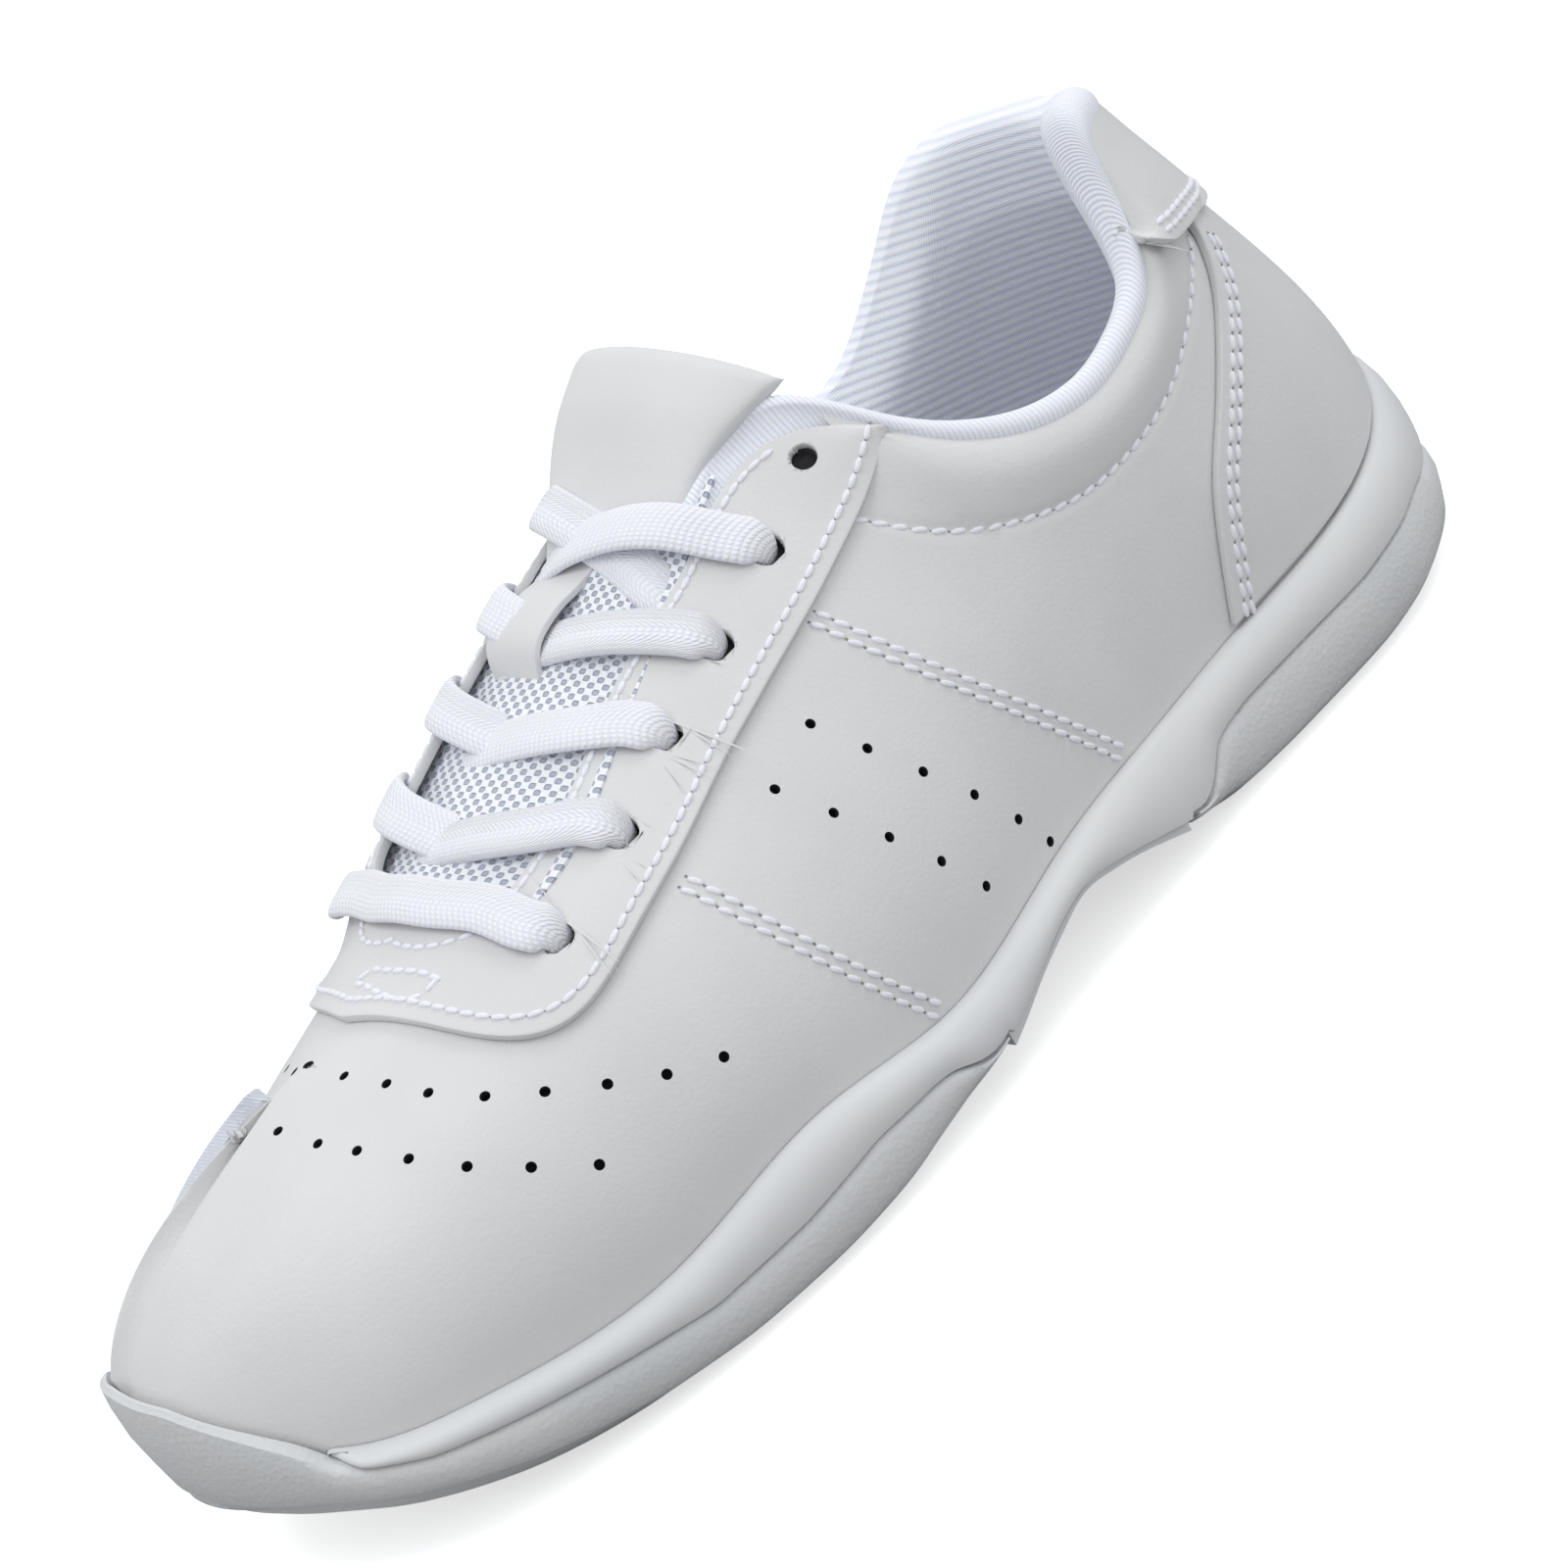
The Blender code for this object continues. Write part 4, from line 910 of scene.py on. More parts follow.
def holeCups(name, places, radius, top, bottom, finish):    # cup of painted shade inside each hole, open at the top
    spots = np.array(places, float)
    turn = np.linspace(0, 2 * np.pi, 17)[:-1]
    low = skin(spots[:, 0], spots[:, 1], 0.0)
    normal = skin(spots[:, 0], spots[:, 1], 1.0) - low
    first = unit(np.cross(normal, (0, 0, 1.0)))
    second = np.cross(first, normal)
    count = len(turn)
    points = []
    faces = []
    for n, size in enumerate(np.broadcast_to(radius, len(spots))):
        spokes = size * (np.cos(turn)[:, None] * first[n] + np.sin(turn)[:, None] * second[n])
        start = len(points)
        for wide, deep in ((1, top), (1, bottom), (1.25, bottom * 1.05), (1.25, top)):
            points.extend(low[n] + spokes * wide + normal[n] * deep)
        for ring in range(4):
            one = start + ring * count
            two = start + (ring + 1) % 4 * count
            faces.extend((one + k, two + k, two + (k + 1) % count, one + (k + 1) % count) for k in range(count))
        faces.append(tuple(start + count + k for k in range(count)))
        faces.append(tuple(start + 2 * count + k for k in reversed(range(count))))
    finishPiece(meshPiece(name, points, faces), finish)


def mirrored(places):
    return list(places) + [(-a, h) for a, h in places]


def upperPanels():
    toeHoles = mirrored(perforations["toe"]) + mirrored(perforations["toeLow"]) + perforations["toeMiddle"]
    vamp = drapedGrid("vampLeather", 240, 84, vampPlace, weld=True)
    punch(vamp, toeHoles, perforations["radius"])
    thicken(vamp, panelSizes["thickness"])
    finishPiece(vamp, "leather", ["vamp"])
    allHoles = list(toeHoles)
    for word, sign in (("Lateral", 1), ("Medial", -1)):
        side = drapedGrid("sidePanel" + word, 70, 70, sidePlace(sign))
        holes = [(sign * a, h) for a, h in perforations["side"]]
        punch(side, holes, perforations["radius"])
        thicken(side, panelSizes["thickness"])
        finishPiece(side, "leather", ["side_panel_" + word.lower()])
        allHoles += holes
        quarter = drapedGrid("quarter" + word, 170, 96, quarterPlace(sign))
        thicken(quarter, panelSizes["thickness"])
        finishPiece(quarter, "leather", ["quarter_" + word.lower()])
    # near-black cups of painted shade under the perforations
    holeCups("perforationShadeCups", allHoles, perforations["radius"] * perforations["cupShare"],
             perforations["cupTop"], perforations["cupFloor"], "dark")
    print("base panels made and punched")


seamTops = ((frontSeam, 0.475), (rearSeam, 0.545))    # seam line, how far up its stitches go


def seamRows():
    ups = np.linspace(0.0, 1.0, 9)
    for word, sign in (("Lateral", 1), ("Medial", -1)):
        rows = []
        for seam, top in seamTops:
            places = [(sign * seam(h), h) for h in 0.012 + ups * (top - 0.012)]
            for shift in (-0.95, 0.95):
                rows.append(sewLine(places, 0.0, shift))
        sewPiece("sideSeams" + word, rows)
        table = np.array(edgeLines["puff" + word][1:-1])
        sewPiece("collarSeam" + word, [sewLine([(sign * a, h) for a, h in table], puffLift)])
    print("panel seams sewn")


eyestaySizes = {"lift": 1.5, "thickness": 1.45, "edge": 0.3, "laced": 2.55, "bare": 1.95, "stitchIn": 2.9,
                "throatIn": 1.7, "medialRise": 2.4}


def medialRise(a):
    return eyestaySizes["medialRise"] * smoothStep((a - 0.26) / 0.05) * (1 - smoothStep((a - 0.56) / 0.06))


def eyestayPlace(u, v):
    count = np.arange(12)
    outer = naturalSpline(count, edgeLines["eyestayOuter"])
    inner = naturalSpline(count, edgeLines["eyestayInner"])
    place = np.abs(2 * u - 1) * 11
    pair = outer(place) * (1 - v)[:, None] + inner(place) * v[:, None]
    side = np.where(u >= 0.5, 1, -1)
    rise = smoothStep((np.abs(pair[:, 0]) - 0.56) / 0.06) * 0.8
    crown = rise * np.sin(np.pi * np.clip(v, 0, 1))
    medial = (side < 0) * medialRise(pair[:, 0]) * smoothStep(v / 0.6)
    return skin(side * pair[:, 0], np.minimum(pair[:, 1], 1.0), eyestaySizes["lift"] + crown + medial)


def lineAcross(place, us, inset, fromInner=False):    # path at a set distance from one edge of a draped panel
    vs = np.linspace(0, 1, 41)
    d = 0.004
    spots = []
    ups = []
    for u in us:
        line = place(np.full(41, u), 1 - vs if fromInner else vs)
        length = np.concatenate([[0], np.cumsum(np.linalg.norm(np.diff(line, axis=0), axis=1))])
        spots.append([np.interp(inset, length, line[:, i]) for i in range(3)])
        here = np.interp(inset, length, np.arange(41)) / 40
        v = 1 - here if fromInner else here
        du = place(np.array([u + d]), np.array([v])) - place(np.array([u - d]), np.array([v]))
        dv = place(np.array([u]), np.array([min(v + d, 1)])) - place(np.array([u]), np.array([max(v - d, 0)]))
        ups.append(unit(np.cross(du, dv))[0])
    return np.array(spots), np.array(ups)


def eyestayPiece():
    piece = drapedGrid("eyestayLeather", 420, 44, eyestayPlace)
    holes = mirrored(eyelets)
    radii = [eyestaySizes["laced"]] * 5 + [eyestaySizes["bare"]]
    punch(piece, holes, radii * 2, cuts=1)
    thicken(piece, eyestaySizes["thickness"], edgeSlot=1, bevel=eyestaySizes["edge"])
    finishPiece(piece, "leather", ["eyestay"], edge="cutEdge")
    # dark cups of painted shade inside the eyelets
    holeCups("eyeletShadeCups", holes, np.array(radii * 2) * 1.02, 0.7, -1.6, "shade")
    spots, ups = lineAcross(eyestayPlace, np.linspace(0.004, 0.996, 240), eyestaySizes["stitchIn"])
    sewPiece("eyestaySeam", [evenly(spots, ups, sewing["pitch"] * 0.88)], tilt=0.1)
    throat = []
    for us in (np.linspace(0.06, 0.40, 90), np.linspace(0.60, 0.94, 90)):
        spots, ups = lineAcross(eyestayPlace, us, eyestaySizes["throatIn"], fromInner=True)
        throat.append(evenly(spots, ups, sewing["pitch"] * 0.8))
    sewPiece("throatSeam", throat, tilt=0.05, dots=False)
    moon = [(0.228, 0.793), (0.219, 0.857), (0.206, 0.927), (0.196, 0.992), (0.191, 1.04)]
    arc = [(0.228, 0.803), (0.213, 0.816), (0.198, 0.859), (0.186, 0.939), (0.183, 1.006), (0.190, 1.045)]
    bar = [(0.262, 0.787), (0.246, 0.833), (0.229, 0.899), (0.219, 0.997), (0.229, 1.10), (0.246, 1.167),
           (0.262, 1.21)]
    lines = [sewLine(part, eyestaySizes["lift"]) for part in (moon, arc, bar)]
    sewPiece("frontBarTack", lines, tilt=0.05, dots=False)
    print("eyestay cut, punched and sewn")


heelSizes = {"counterLift": 1.35, "counterThickness": 1.3, "tabLift": 1.7, "tabOver": 1.35, "tabThickness": 1.5,
             "tabSpan": 0.148, "counterTop": 0.02, "edge": 0.35, "counterStitches": (2.3, 3.8),
             "tabStitches": (2.2, 3.9)}


def counterPlace(u, v):
    t = 2 * u - 1
    h = 0.5 * v
    for _ in range(8):
        a = 1 + t * (1 - counterFront(h))
        h = 0.012 + v * (tabLower(1 - np.abs(1 - a)) + heelSizes["counterTop"] - 0.012)
    return skin(a, h, heelSizes["counterLift"] + puffLift(a, h) * 0.5)


def tabPlace(u, v):
    t = 2 * u - 1
    a = 1 + t * heelSizes["tabSpan"]
    side = 1 - np.abs(t) * heelSizes["tabSpan"]
    corner = np.clip((np.abs(t) - 0.86) / 0.14, 0, 1)
    low = tabLower(side) + 0.03 * corner ** 2    # rounds the lower corners
    high = np.maximum(rimUp(a) - panelSizes["rimGap"] + 0.004, low + 0.05)
    h = low + v * (high - low)
    lift = heelSizes["tabLift"] + puffLift(a, h) + heelSizes["tabOver"] * (1 - smoothStep(v / 0.75))
    return skin(a, h, lift)


def heelPieces():
    counter = drapedGrid("heelCounter", 150, 60, counterPlace)
    thicken(counter, heelSizes["counterThickness"], edgeSlot=1, bevel=heelSizes["edge"])
    finishPiece(counter, "leather", ["heel_counter_panel"], edge="cutEdge")
    tab = drapedGrid("heelTab", 120, 48, tabPlace)
    thicken(tab, heelSizes["tabThickness"], edgeSlot=1, bevel=heelSizes["edge"])
    finishPiece(tab, "leather", ["heel_tab"], edge="cutEdge")
    rows = []
    ups = np.linspace(0.015, 0.53, 10)
    for sign in (1, -1):
        places = [(sign * counterFront(h), h) for h in ups]
        for shift in heelSizes["counterStitches"]:
            rows.append(sewLine(places, heelSizes["counterLift"], -sign * shift))
    sewPiece("counterSeam", rows)
    us = np.linspace(0.05, 0.95, 90)
    rows = []
    for inset in heelSizes["tabStitches"]:
        spots, upwards = lineAcross(tabPlace, us, inset)
        rows.append(evenly(spots, upwards, sewing["pitch"] * 0.85))
    sewPiece("tabSeam", rows, dots=False)
    print("heel counter and tab made")


# collar: ribbed cloth rolled over the rim and down inside

collarSizes = {
    "start": 0.478, "roll": 2.35, "rollLift": -0.7, "heelRoll": 1.7, "thickness": 0.7,
    "turns": (-50, -10, 30, 70, 115, 152),    # degrees round the roll
    "upper": ((0.05, -6.4), (0.12, -7.4), (0.2, -7.4)),    # below the rim, lift
    "lower": ((0.55, -6.3), (0.1, -5.5)),    # share of the rest, lift
    "ribAcross": 0.85, "ribInside": 1.45, "ribLean": 14.2}


def collarPlace(u, v):
    t = 2 * u - 1
    a = 1 + t * (1 - collarSizes["start"])
    side = 1 - np.abs(1 - a)
    top = rimUp(a)
    early = smoothStep((side - collarSizes["start"]) / 0.05)
    back = smoothStep((side - 0.80) / 0.1)
    radius = collarSizes["roll"] * (0.45 + 0.55 * early) + collarSizes["heelRoll"] * back
    lift = collarSizes["rollLift"] * early - 1.2 * (1 - early) - 0.9 * back
    centre = skin(a, top - 0.006 * early * (1 - smoothStep((side - 0.62) / 0.06)) - 0.02 * back, lift)
    normal = normalOf(softPoint, a, np.minimum(top, 0.985))
    up = unit(softPoint(a, top + 0.01) - softPoint(a, top - 0.01))
    skirt = 0.055 * (1 - smoothStep((side - 0.6) / 0.05)) + 0.024    # tucks under the panels
    path = [skin(a, top - skirt, -0.55)]
    for degrees in collarSizes["turns"]:
        w = math.radians(degrees)
        path.append(centre + radius[:, None] * (math.cos(w) * normal + math.sin(w) * up))
    deep = np.clip((top - 0.2) / 0.3, 0.5, 1) * (0.25 + 0.75 * early)
    for below, inside in collarSizes["upper"]:
        path.append(skin(a, top - below * deep, inside * (0.45 + 0.55 * early)))
    inner = top - 0.2 * deep
    for share, inside in collarSizes["lower"]:
        near = np.where(early < 1, 1 - (1 - share) * early, share)
        path.append(skin(a, near * inner, inside * (0.45 + 0.55 * early)))
    curve = naturalSpline(np.arange(len(path)), np.array(path).reshape(len(path), -1))
    place = v * (len(path) - 1)
    index = np.arange(len(v))
    whole = np.zeros((len(v), 3))
    for value in np.unique(np.round(place, 6)):
        same = index[np.abs(place - value) < 1e-5]
        whole[same] = curve(value).reshape(-1, 3)[same]
    return whole


def ribMap(piece):    # uv for the ribs: across the roll on the lateral side, along the wall on the medial side
    mesh = piece.data
    co = readArray(mesh.vertices, "co", 3) / mm
    loops = readArray(mesh.loops, "vertex_index", 1, int)
    uv = readArray(mesh.uv_layers["UVMap"].data, "uv", 2)
    lean = math.radians(collarSizes["ribLean"])
    inside = (co[:, 0] * math.sin(lean) + co[:, 2] * math.cos(lean))[loops]
    length = uv[:, 0].max()
    share = smoothStep((uv[:, 0] / length - 0.40) / 0.14)
    across = uv[:, 0] / collarSizes["ribAcross"]
    along = inside / collarSizes["ribInside"]
    level = 0.47 * length / collarSizes["ribAcross"] - along.mean()
    made = across * (1 - share) + (along + level) * share
    mesh.uv_layers["UVMap"].data.foreach_set("uv", np.stack([made, uv[:, 1]], -1).ravel())


def collarPiece():
    piece = drapedGrid("collarLining", 330, 60, collarPlace)
    ribMap(piece)
    thicken(piece, collarSizes["thickness"])
    finishPiece(piece, "ribs", ["collar_lining"])
    print("collar rolled and lined")


# tongue

tongueSizes = {"start": 0.2, "end": 0.548, "lift": -1.7, "settle": 3.2, "sideDrop": 1.4, "thickness": 3.0,
               "reach": 1.35, "pad": 2.6, "bend": (5.0, 0, 2.5)}
tongueRows = [    # lateral end, medial end, how far the middle bows up, how thick the padding is
    ((-3.5, -7.0, 73.8), (-5.5, 17.0, 78.0), 0.5, 0.22), ((2.0, -6.8, 76.9), (-0.5, 18.8, 81.0), 0.7, 0.36),
    ((8.0, -6.4, 80.2), (4.5, 20.9, 84.8), 1.0, 0.6), ((15.0, -6.2, 84.2), (12.5, 25.2, 89.6), 1.6, 0.9),
    ((23.5, -8.5, 87.3), (19.6, 27.2, 94.2), 3.0, 1.0), ((32.5, -10.5, 88.6), (28.8, 28.0, 99.3), 3.8, 1.0)]


def tongueBodyPlace(u, v):
    a = tongueSizes["start"] + (tongueSizes["end"] - tongueSizes["start"]) * (1 - v)
    w = 2 * u - 1
    settle = tongueSizes["settle"] * (1 - smoothStep((a - 0.22) / 0.07))
    lift = tongueSizes["lift"] - settle - tongueSizes["sideDrop"] * np.abs(w) ** 3
    early = smoothStep((a - 0.24) / 0.03)
    open_ = throatPoint(a, w * tongueSizes["reach"], lift)
    closed = skin(np.where(w >= 0, a, -a), 1 - np.abs(w) * 0.28, lift)
    return closed + (open_ - closed) * early[:, None]


def tongueMiddle(t, w):    # middle of the padded leather: t 0 to 4 from its start to its top edge
    share = np.linspace(0, 1, 9)
    rows = []
    for lateral, medial, bow, _ in tongueRows:
        line = np.array(lateral) * (1 - share[:, None]) + np.array(medial) * share[:, None]
        arch = 4 * share * (1 - share) * bow
        line[:, 0] -= 0.45 * arch
        line[:, 2] += arch
        rows.append(line)
    dense = naturalSpline(np.arange(6), np.array(rows).reshape(6, -1))(t * 1.25).reshape(-1, 9, 3)
    place = w * 8
    i = np.clip(np.floor(place).astype(int), 0, 7)
    k = (place - i)[:, None]
    index = np.arange(len(t))
    before = dense[index, np.maximum(i - 1, 0)]
    here = dense[index, i]
    after = dense[index, i + 1]
    later = dense[index, np.minimum(i + 2, 8)]
    return 0.5 * (2 * here + (after - before) * k + (2 * before - 5 * here + 4 * after - later) * k ** 2
                  + (3 * here - before - 3 * after + later) * k ** 3)


def tongueLeatherPlace(u, v):    # v goes from the start, over the top edge and back underneath
    over = v <= 0.5
    t = np.where(over, v * 2, (1 - v) * 2) * 4
    middle = tongueMiddle(np.clip(t, 0, 4), u)
    d = 0.02
    along = tongueMiddle(np.clip(t + d, 0, 4), u) - tongueMiddle(np.clip(t - d, 0, 4), u)
    across = (tongueMiddle(np.clip(t, 0, 4), np.clip(u + d, 0, 1))
              - tongueMiddle(np.clip(t, 0, 4), np.clip(u - d, 0, 1)))
    normal = unit(np.cross(across, along))
    normal *= np.sign(normal[:, 2:3])
    sideRound = np.sqrt(np.clip(1 - np.abs(2 * u - 1) ** 6, 0, 1))
    topRound = np.sqrt(np.clip(1 - np.clip((t - 3.7) / 0.3, 0, 1) ** 2, 0, 1))
    full = tongueSizes["pad"] * np.interp(t * 1.25, np.arange(6), [row[3] for row in tongueRows])
    height = full * sideRound * topRound * np.where(over, 1, -1)
    return middle + normal * height[:, None]


def tonguePieces():
    body = drapedGrid("tongueMesh", 90, 170, tongueBodyPlace)
    thicken(body, tongueSizes["thickness"])
    finishPiece(body, "airMesh", ["tongue_body"])
    leather = drapedGrid("tongueLeather", 80, 190, tongueLeatherPlace, weld=True)
    faceOutward(leather)
    finishPiece(leather, "tongueLeather", ["tongue_facing", "tongue_top"], body="blended", angle=70)
    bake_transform(leather)
    print("tongue padded")


keeperSizes = {"middle": -0.42, "half": 0.4, "thickness": 1.1,
               "route": [(0.492, 1.8), (0.482, 2.4), (0.470, 3.5), (0.458, 4.7), (0.444, 5.3), (0.432, 5.0),
                         (0.423, 3.2), (0.416, 0.8), (0.410, -0.4), (0.402, -0.7)]}


def keeperPlace(u, v):
    table = np.array(keeperSizes["route"])
    pair = naturalSpline(np.arange(len(table)), table)((1 - v) * (len(table) - 1))
    return throatPoint(pair[:, 0], keeperSizes["middle"] + (2 * u - 1) * keeperSizes["half"], pair[:, 1])


def keeperPiece():
    piece = drapedGrid("laceKeeper", 20, 70, keeperPlace)
    thicken(piece, keeperSizes["thickness"], edgeSlot=1, bevel=0.25)
    finishPiece(piece, "tongueLeather", ["lace_keeper"], edge="cutEdge")
    us = np.linspace(0.06, 0.94, 13)
    vs = 0.055 + 0.022 * (np.arange(13) % 2)
    corners = keeperPlace(us, vs)
    runs = unit(np.diff(corners, axis=0))
    outward = unit(normalOf(softPoint, np.full(13, 0.41), np.full(13, 0.97)))
    middle = (corners[1:] + corners[:-1]) / 2 + outward[1:] * 0.08
    zigzag = scatter("keeperZigzag", stitchShape, middle, runs, outward[1:], (0.5, 0.5, 2.0))
    finishPiece(zigzag, "thread")
    print("lace keeper sewn on")


# lace

laceSizes = {"width": 7.6, "neck": 4.4, "thick": 2.1, "neckThick": 2.4, "over": 2.8, "under": -1.3,
             "crossHigh": 1.7, "crossLow": -0.5, "rowRise": (0, 0, 0.6, 3.0), "around": 28, "along": 900}


def laceHalf(sign):    # control places: around, up, lift, width share (0 at an eyelet, 1 in the open)
    over, under = laceSizes["over"], laceSizes["under"]
    rise = lambda side, a: medialRise(np.array(a)) if side < 0 else 0.0
    edge = lambda a: float(rimLateral(a))
    path = [(0.256, 1.0, 2.7, 1), (sign * 0.262, 0.89, 2.8, 1), (sign * 0.278, 0.77, over + rise(sign, 0.278), 1)]
    side = sign
    for i in range(5):
        a, h = eyelets[i]
        more = rise(side, a)
        path += [(side * (a - 0.012), h + 0.062, over + more, 1),
                 (side * (a - 0.006), h + 0.032, over - 0.1 + more, 0.9),
                 (side * (a - 0.001), h + 0.010, 1.6 + more, 0.35), (side * a, h + 0.002, -0.6, 0)]
        if i == 4:
            break
        after = eyelets[i + 1][0]
        step = after - a
        more = laceSizes["rowRise"][i]
        path += [(side * (a + 0.01 * step), h + 0.06, under - 0.6, 0.5),
                 (side * (a + 0.02 * step), edge(a) - 0.01, under + 0.5 * more, 1)]
        cross = laceSizes["crossHigh"] if side < 0 else laceSizes["crossLow"]
        path.append((a + 0.3 * step, 1.0, cross + more, 1))
        landing = a + 0.53 * step
        path.append((-side * landing, edge(landing) - 0.005, over + rise(-side, landing) + 0.3 * more, 1))
        side = -side
    a, h = eyelets[4]
    path += [(side * a, h + 0.004, -3.2, 0), (side * a, h, -6.9, 0), (side * (a + 0.005), h - 0.10, -7.2, 0),
             (side * (a + 0.01), h - 0.18, -8.0, 0)]
    return path


def lacePiece():
    right = laceHalf(1)
    left = laceHalf(-1)
    table = np.array(right[:0:-1] + [right[0]] + left[1:])
    points = np.array([upperPoint(a, h, lift) for a, h, lift, _ in table])
    forward = np.array([softPoint(a + 0.004, h) - softPoint(a - 0.004, h) for a, h, _, _ in table])
    forward *= np.sign(forward[:, :1])    # width axis always points along the shoe
    chords = np.linalg.norm(np.diff(points, axis=0), axis=1)
    knots = np.concatenate([[0], np.cumsum(np.maximum(chords, 0.3) ** 0.8)])
    spots = np.linspace(0, knots[-1], laceSizes["along"] + 1)
    dense = naturalSpline(knots, np.hstack([points, unit(forward)]))(spots)
    share = smoothStep(np.interp(spots, knots, table[:, 3]))
    centre = dense[:, :3]
    run = unit(np.gradient(centre, axis=0))
    width = dense[:, 3:]
    width = unit(width - (width * run).sum(-1, keepdims=True) * run)
    flat = np.cross(run, width)
    half = (laceSizes["neck"] + (laceSizes["width"] - laceSizes["neck"]) * share) / 2
    thick = (laceSizes["neckThick"] + (laceSizes["thick"] - laceSizes["neckThick"]) * share) / 2
    length = np.concatenate([[0], np.cumsum(np.linalg.norm(np.diff(centre, axis=0), axis=1))])
    closing = np.clip(np.minimum(length, length[-1] - length) / 1.2, 0.02, 1) ** 0.5

    def place(u, v):
        row = np.rint(v * laceSizes["along"]).astype(int)
        angle = 2 * np.pi * u
        c, s = np.cos(angle), np.sin(angle)
        x = np.sign(c) * np.abs(c) ** 0.72 * half[row] * closing[row]
        y = np.sign(s) * np.abs(s) ** 0.85 * thick[row] * closing[row]
        return centre[row] + width[row] * x[:, None] + flat[row] * y[:, None]

    piece = drapedGrid("lace", laceSizes["around"], laceSizes["along"], place, weld=True)
    turnUv(piece)
    faceOutward(piece)
    finishPiece(piece, "lace", ["lace"], angle=80)
    print("lace threaded,", round(length[-1]), "mm of it")


def turnUv(piece):    # length first
    layer = piece.data.uv_layers["UVMap"].data
    layer.foreach_set("uv", readArray(layer, "uv", 2)[:, ::-1].ravel())


# soles

soleHeights = {    # by distance around, on either side
    "under": [(0.0, 15), (0.05, 14.5), (0.096, 13.5), (0.138, 10), (0.195, 5.3), (0.25, 2.2), (0.30, 0.8),
              (0.36, 0.8), (0.405, 1.6), (0.45, 4), (0.496, 6.3), (0.525, 9), (0.552, 11.6), (0.58, 12.4),
              (0.606, 10.4), (0.652, 6.2), (0.686, 3.6), (0.72, 1.4), (0.76, 0.8), (0.85, 0.8), (0.89, 1.6),
              (0.92, 3), (1.0, 5)],
    "middle": [(0.0, 13), (0.05, 11.5), (0.1, 8.5), (0.14, 5), (0.18, 2.4), (0.22, 0.6), (0.25, 0), (0.42, 0),
               (0.45, 0.9), (0.475, 2.6), (0.50, 4.6), (0.53, 8), (0.577, 11.4), (0.62, 8.2), (0.66, 4),
               (0.69, 1), (0.71, 0), (0.87, 0), (0.92, 1), (0.96, 2.6), (1.0, 4.4)],
    "split": [(0.0, 36), (0.04, 34), (0.075, 28), (0.09, 25), (0.098, 23), (0.1055, 20.3), (0.12, 18.3),
              (0.15, 15.2), (0.204, 12.5), (0.245, 10.6), (0.289, 8.6), (0.347, 9.1), (0.397, 10.8),
              (0.438, 10.2), (0.475, 8.4), (0.50, 7.6), (0.655, 8.6), (0.686, 9.8), (0.71, 11.8),
              (0.735, 12.6), (0.80, 12.6), (0.85, 12.4), (0.89, 13.2), (0.913, 14.4), (0.95, 14), (1.0, 12.5)],
    "floor": [(0.0, 24), (0.05, 21.8), (0.10, 17.4), (0.14, 13.6), (0.18, 11), (0.23, 8.8), (0.28, 8.4),
              (0.38, 8.6), (0.44, 9), (0.48, 10.2), (0.53, 13), (0.58, 15.2), (0.63, 15.4), (0.68, 15.6),
              (0.78, 17), (0.88, 18.8), (0.95, 21), (1.0, 22.5)],
}
soleSizes = {"forefootEnd": 0.487, "heelStart": 0.665, "notch": 0.103, "rubber": 3.0, "bulge": 4.2,
             "lipGap": 0.15, "treadDepth": 1.1, "treadPitch": 6.2, "treadWave": 2.4, "waveLength": 19,
             "treadGroove": 0.32,
             "thinned": 1.0, "toeSlim": 1.8, "sock": 2.1, "sockThickness": 3.2}


def heightOf(kind, a, soft=0.012):    # table read by distance around, with its corners softened
    table = np.array(soleHeights[kind], float)
    side = np.abs(wrapAround(a))
    taps = np.linspace(-1, 1, 9)
    total = sum(np.interp(np.abs(wrapAround(side + soft * k)), table[:, 0], table[:, 1]) for k in taps)
    return total / len(taps)


def splitAt(a):    # the rubber's top edge, thinning out towards the arch
    side = np.abs(wrapAround(a))
    top = heightOf("split", a, 0.004)
    low = heightOf("under", a)
    front = (1 - smoothStep((soleSizes["forefootEnd"] - side) / 0.04)) * (side <= soleSizes["forefootEnd"] + 0.004)
    back = (1 - smoothStep((side - soleSizes["heelStart"]) / 0.04)) * (side >= soleSizes["heelStart"] - 0.004)
    return top - (top - low - soleSizes["thinned"]) * np.maximum(front, back)


def loftPiece(name, loops, closeEnds):
    stations, count = loops.shape[:2]

    def place(u, v):
        row = np.rint(v * (stations - 1)).astype(int)
        column = np.rint(u * count).astype(int) % count
        return loops[row, column]

    piece = drapedGrid(name, count, stations - 1, place, weld=True)
    if closeEnds:
        useOnly(piece)
        bpy.ops.object.mode_set(mode="EDIT")
        bpy.ops.mesh.select_all(action="DESELECT")
        bpy.ops.mesh.select_mode(type="EDGE")
        bpy.ops.mesh.select_non_manifold(extend=False, use_wire=False, use_multi_face=False,
                                         use_non_contiguous=False, use_verts=False)
        bpy.ops.mesh.edge_face_add()
        bpy.ops.object.mode_set(mode="OBJECT")
    faceOutward(piece)
    return piece


def halfSection(a, steps):    # lateral then medial points for one half outline given as (out, z) pairs
    lateral = np.stack([wallPoint(a, out, z) for out, z in steps], axis=1)
    medial = np.stack([wallPoint(-a, out, z) for out, z in steps], axis=1)
    return lateral, medial


def acrossRows(lateral, medial, count, heights):    # points between the two edges at given heights
    shares = (np.arange(count) + 1) / (count + 1)
    rows = lateral[:, None, :] * (1 - shares)[None, :, None] + medial[:, None, :] * shares[None, :, None]
    rows[..., 2] = heights(shares, rows)
    return rows


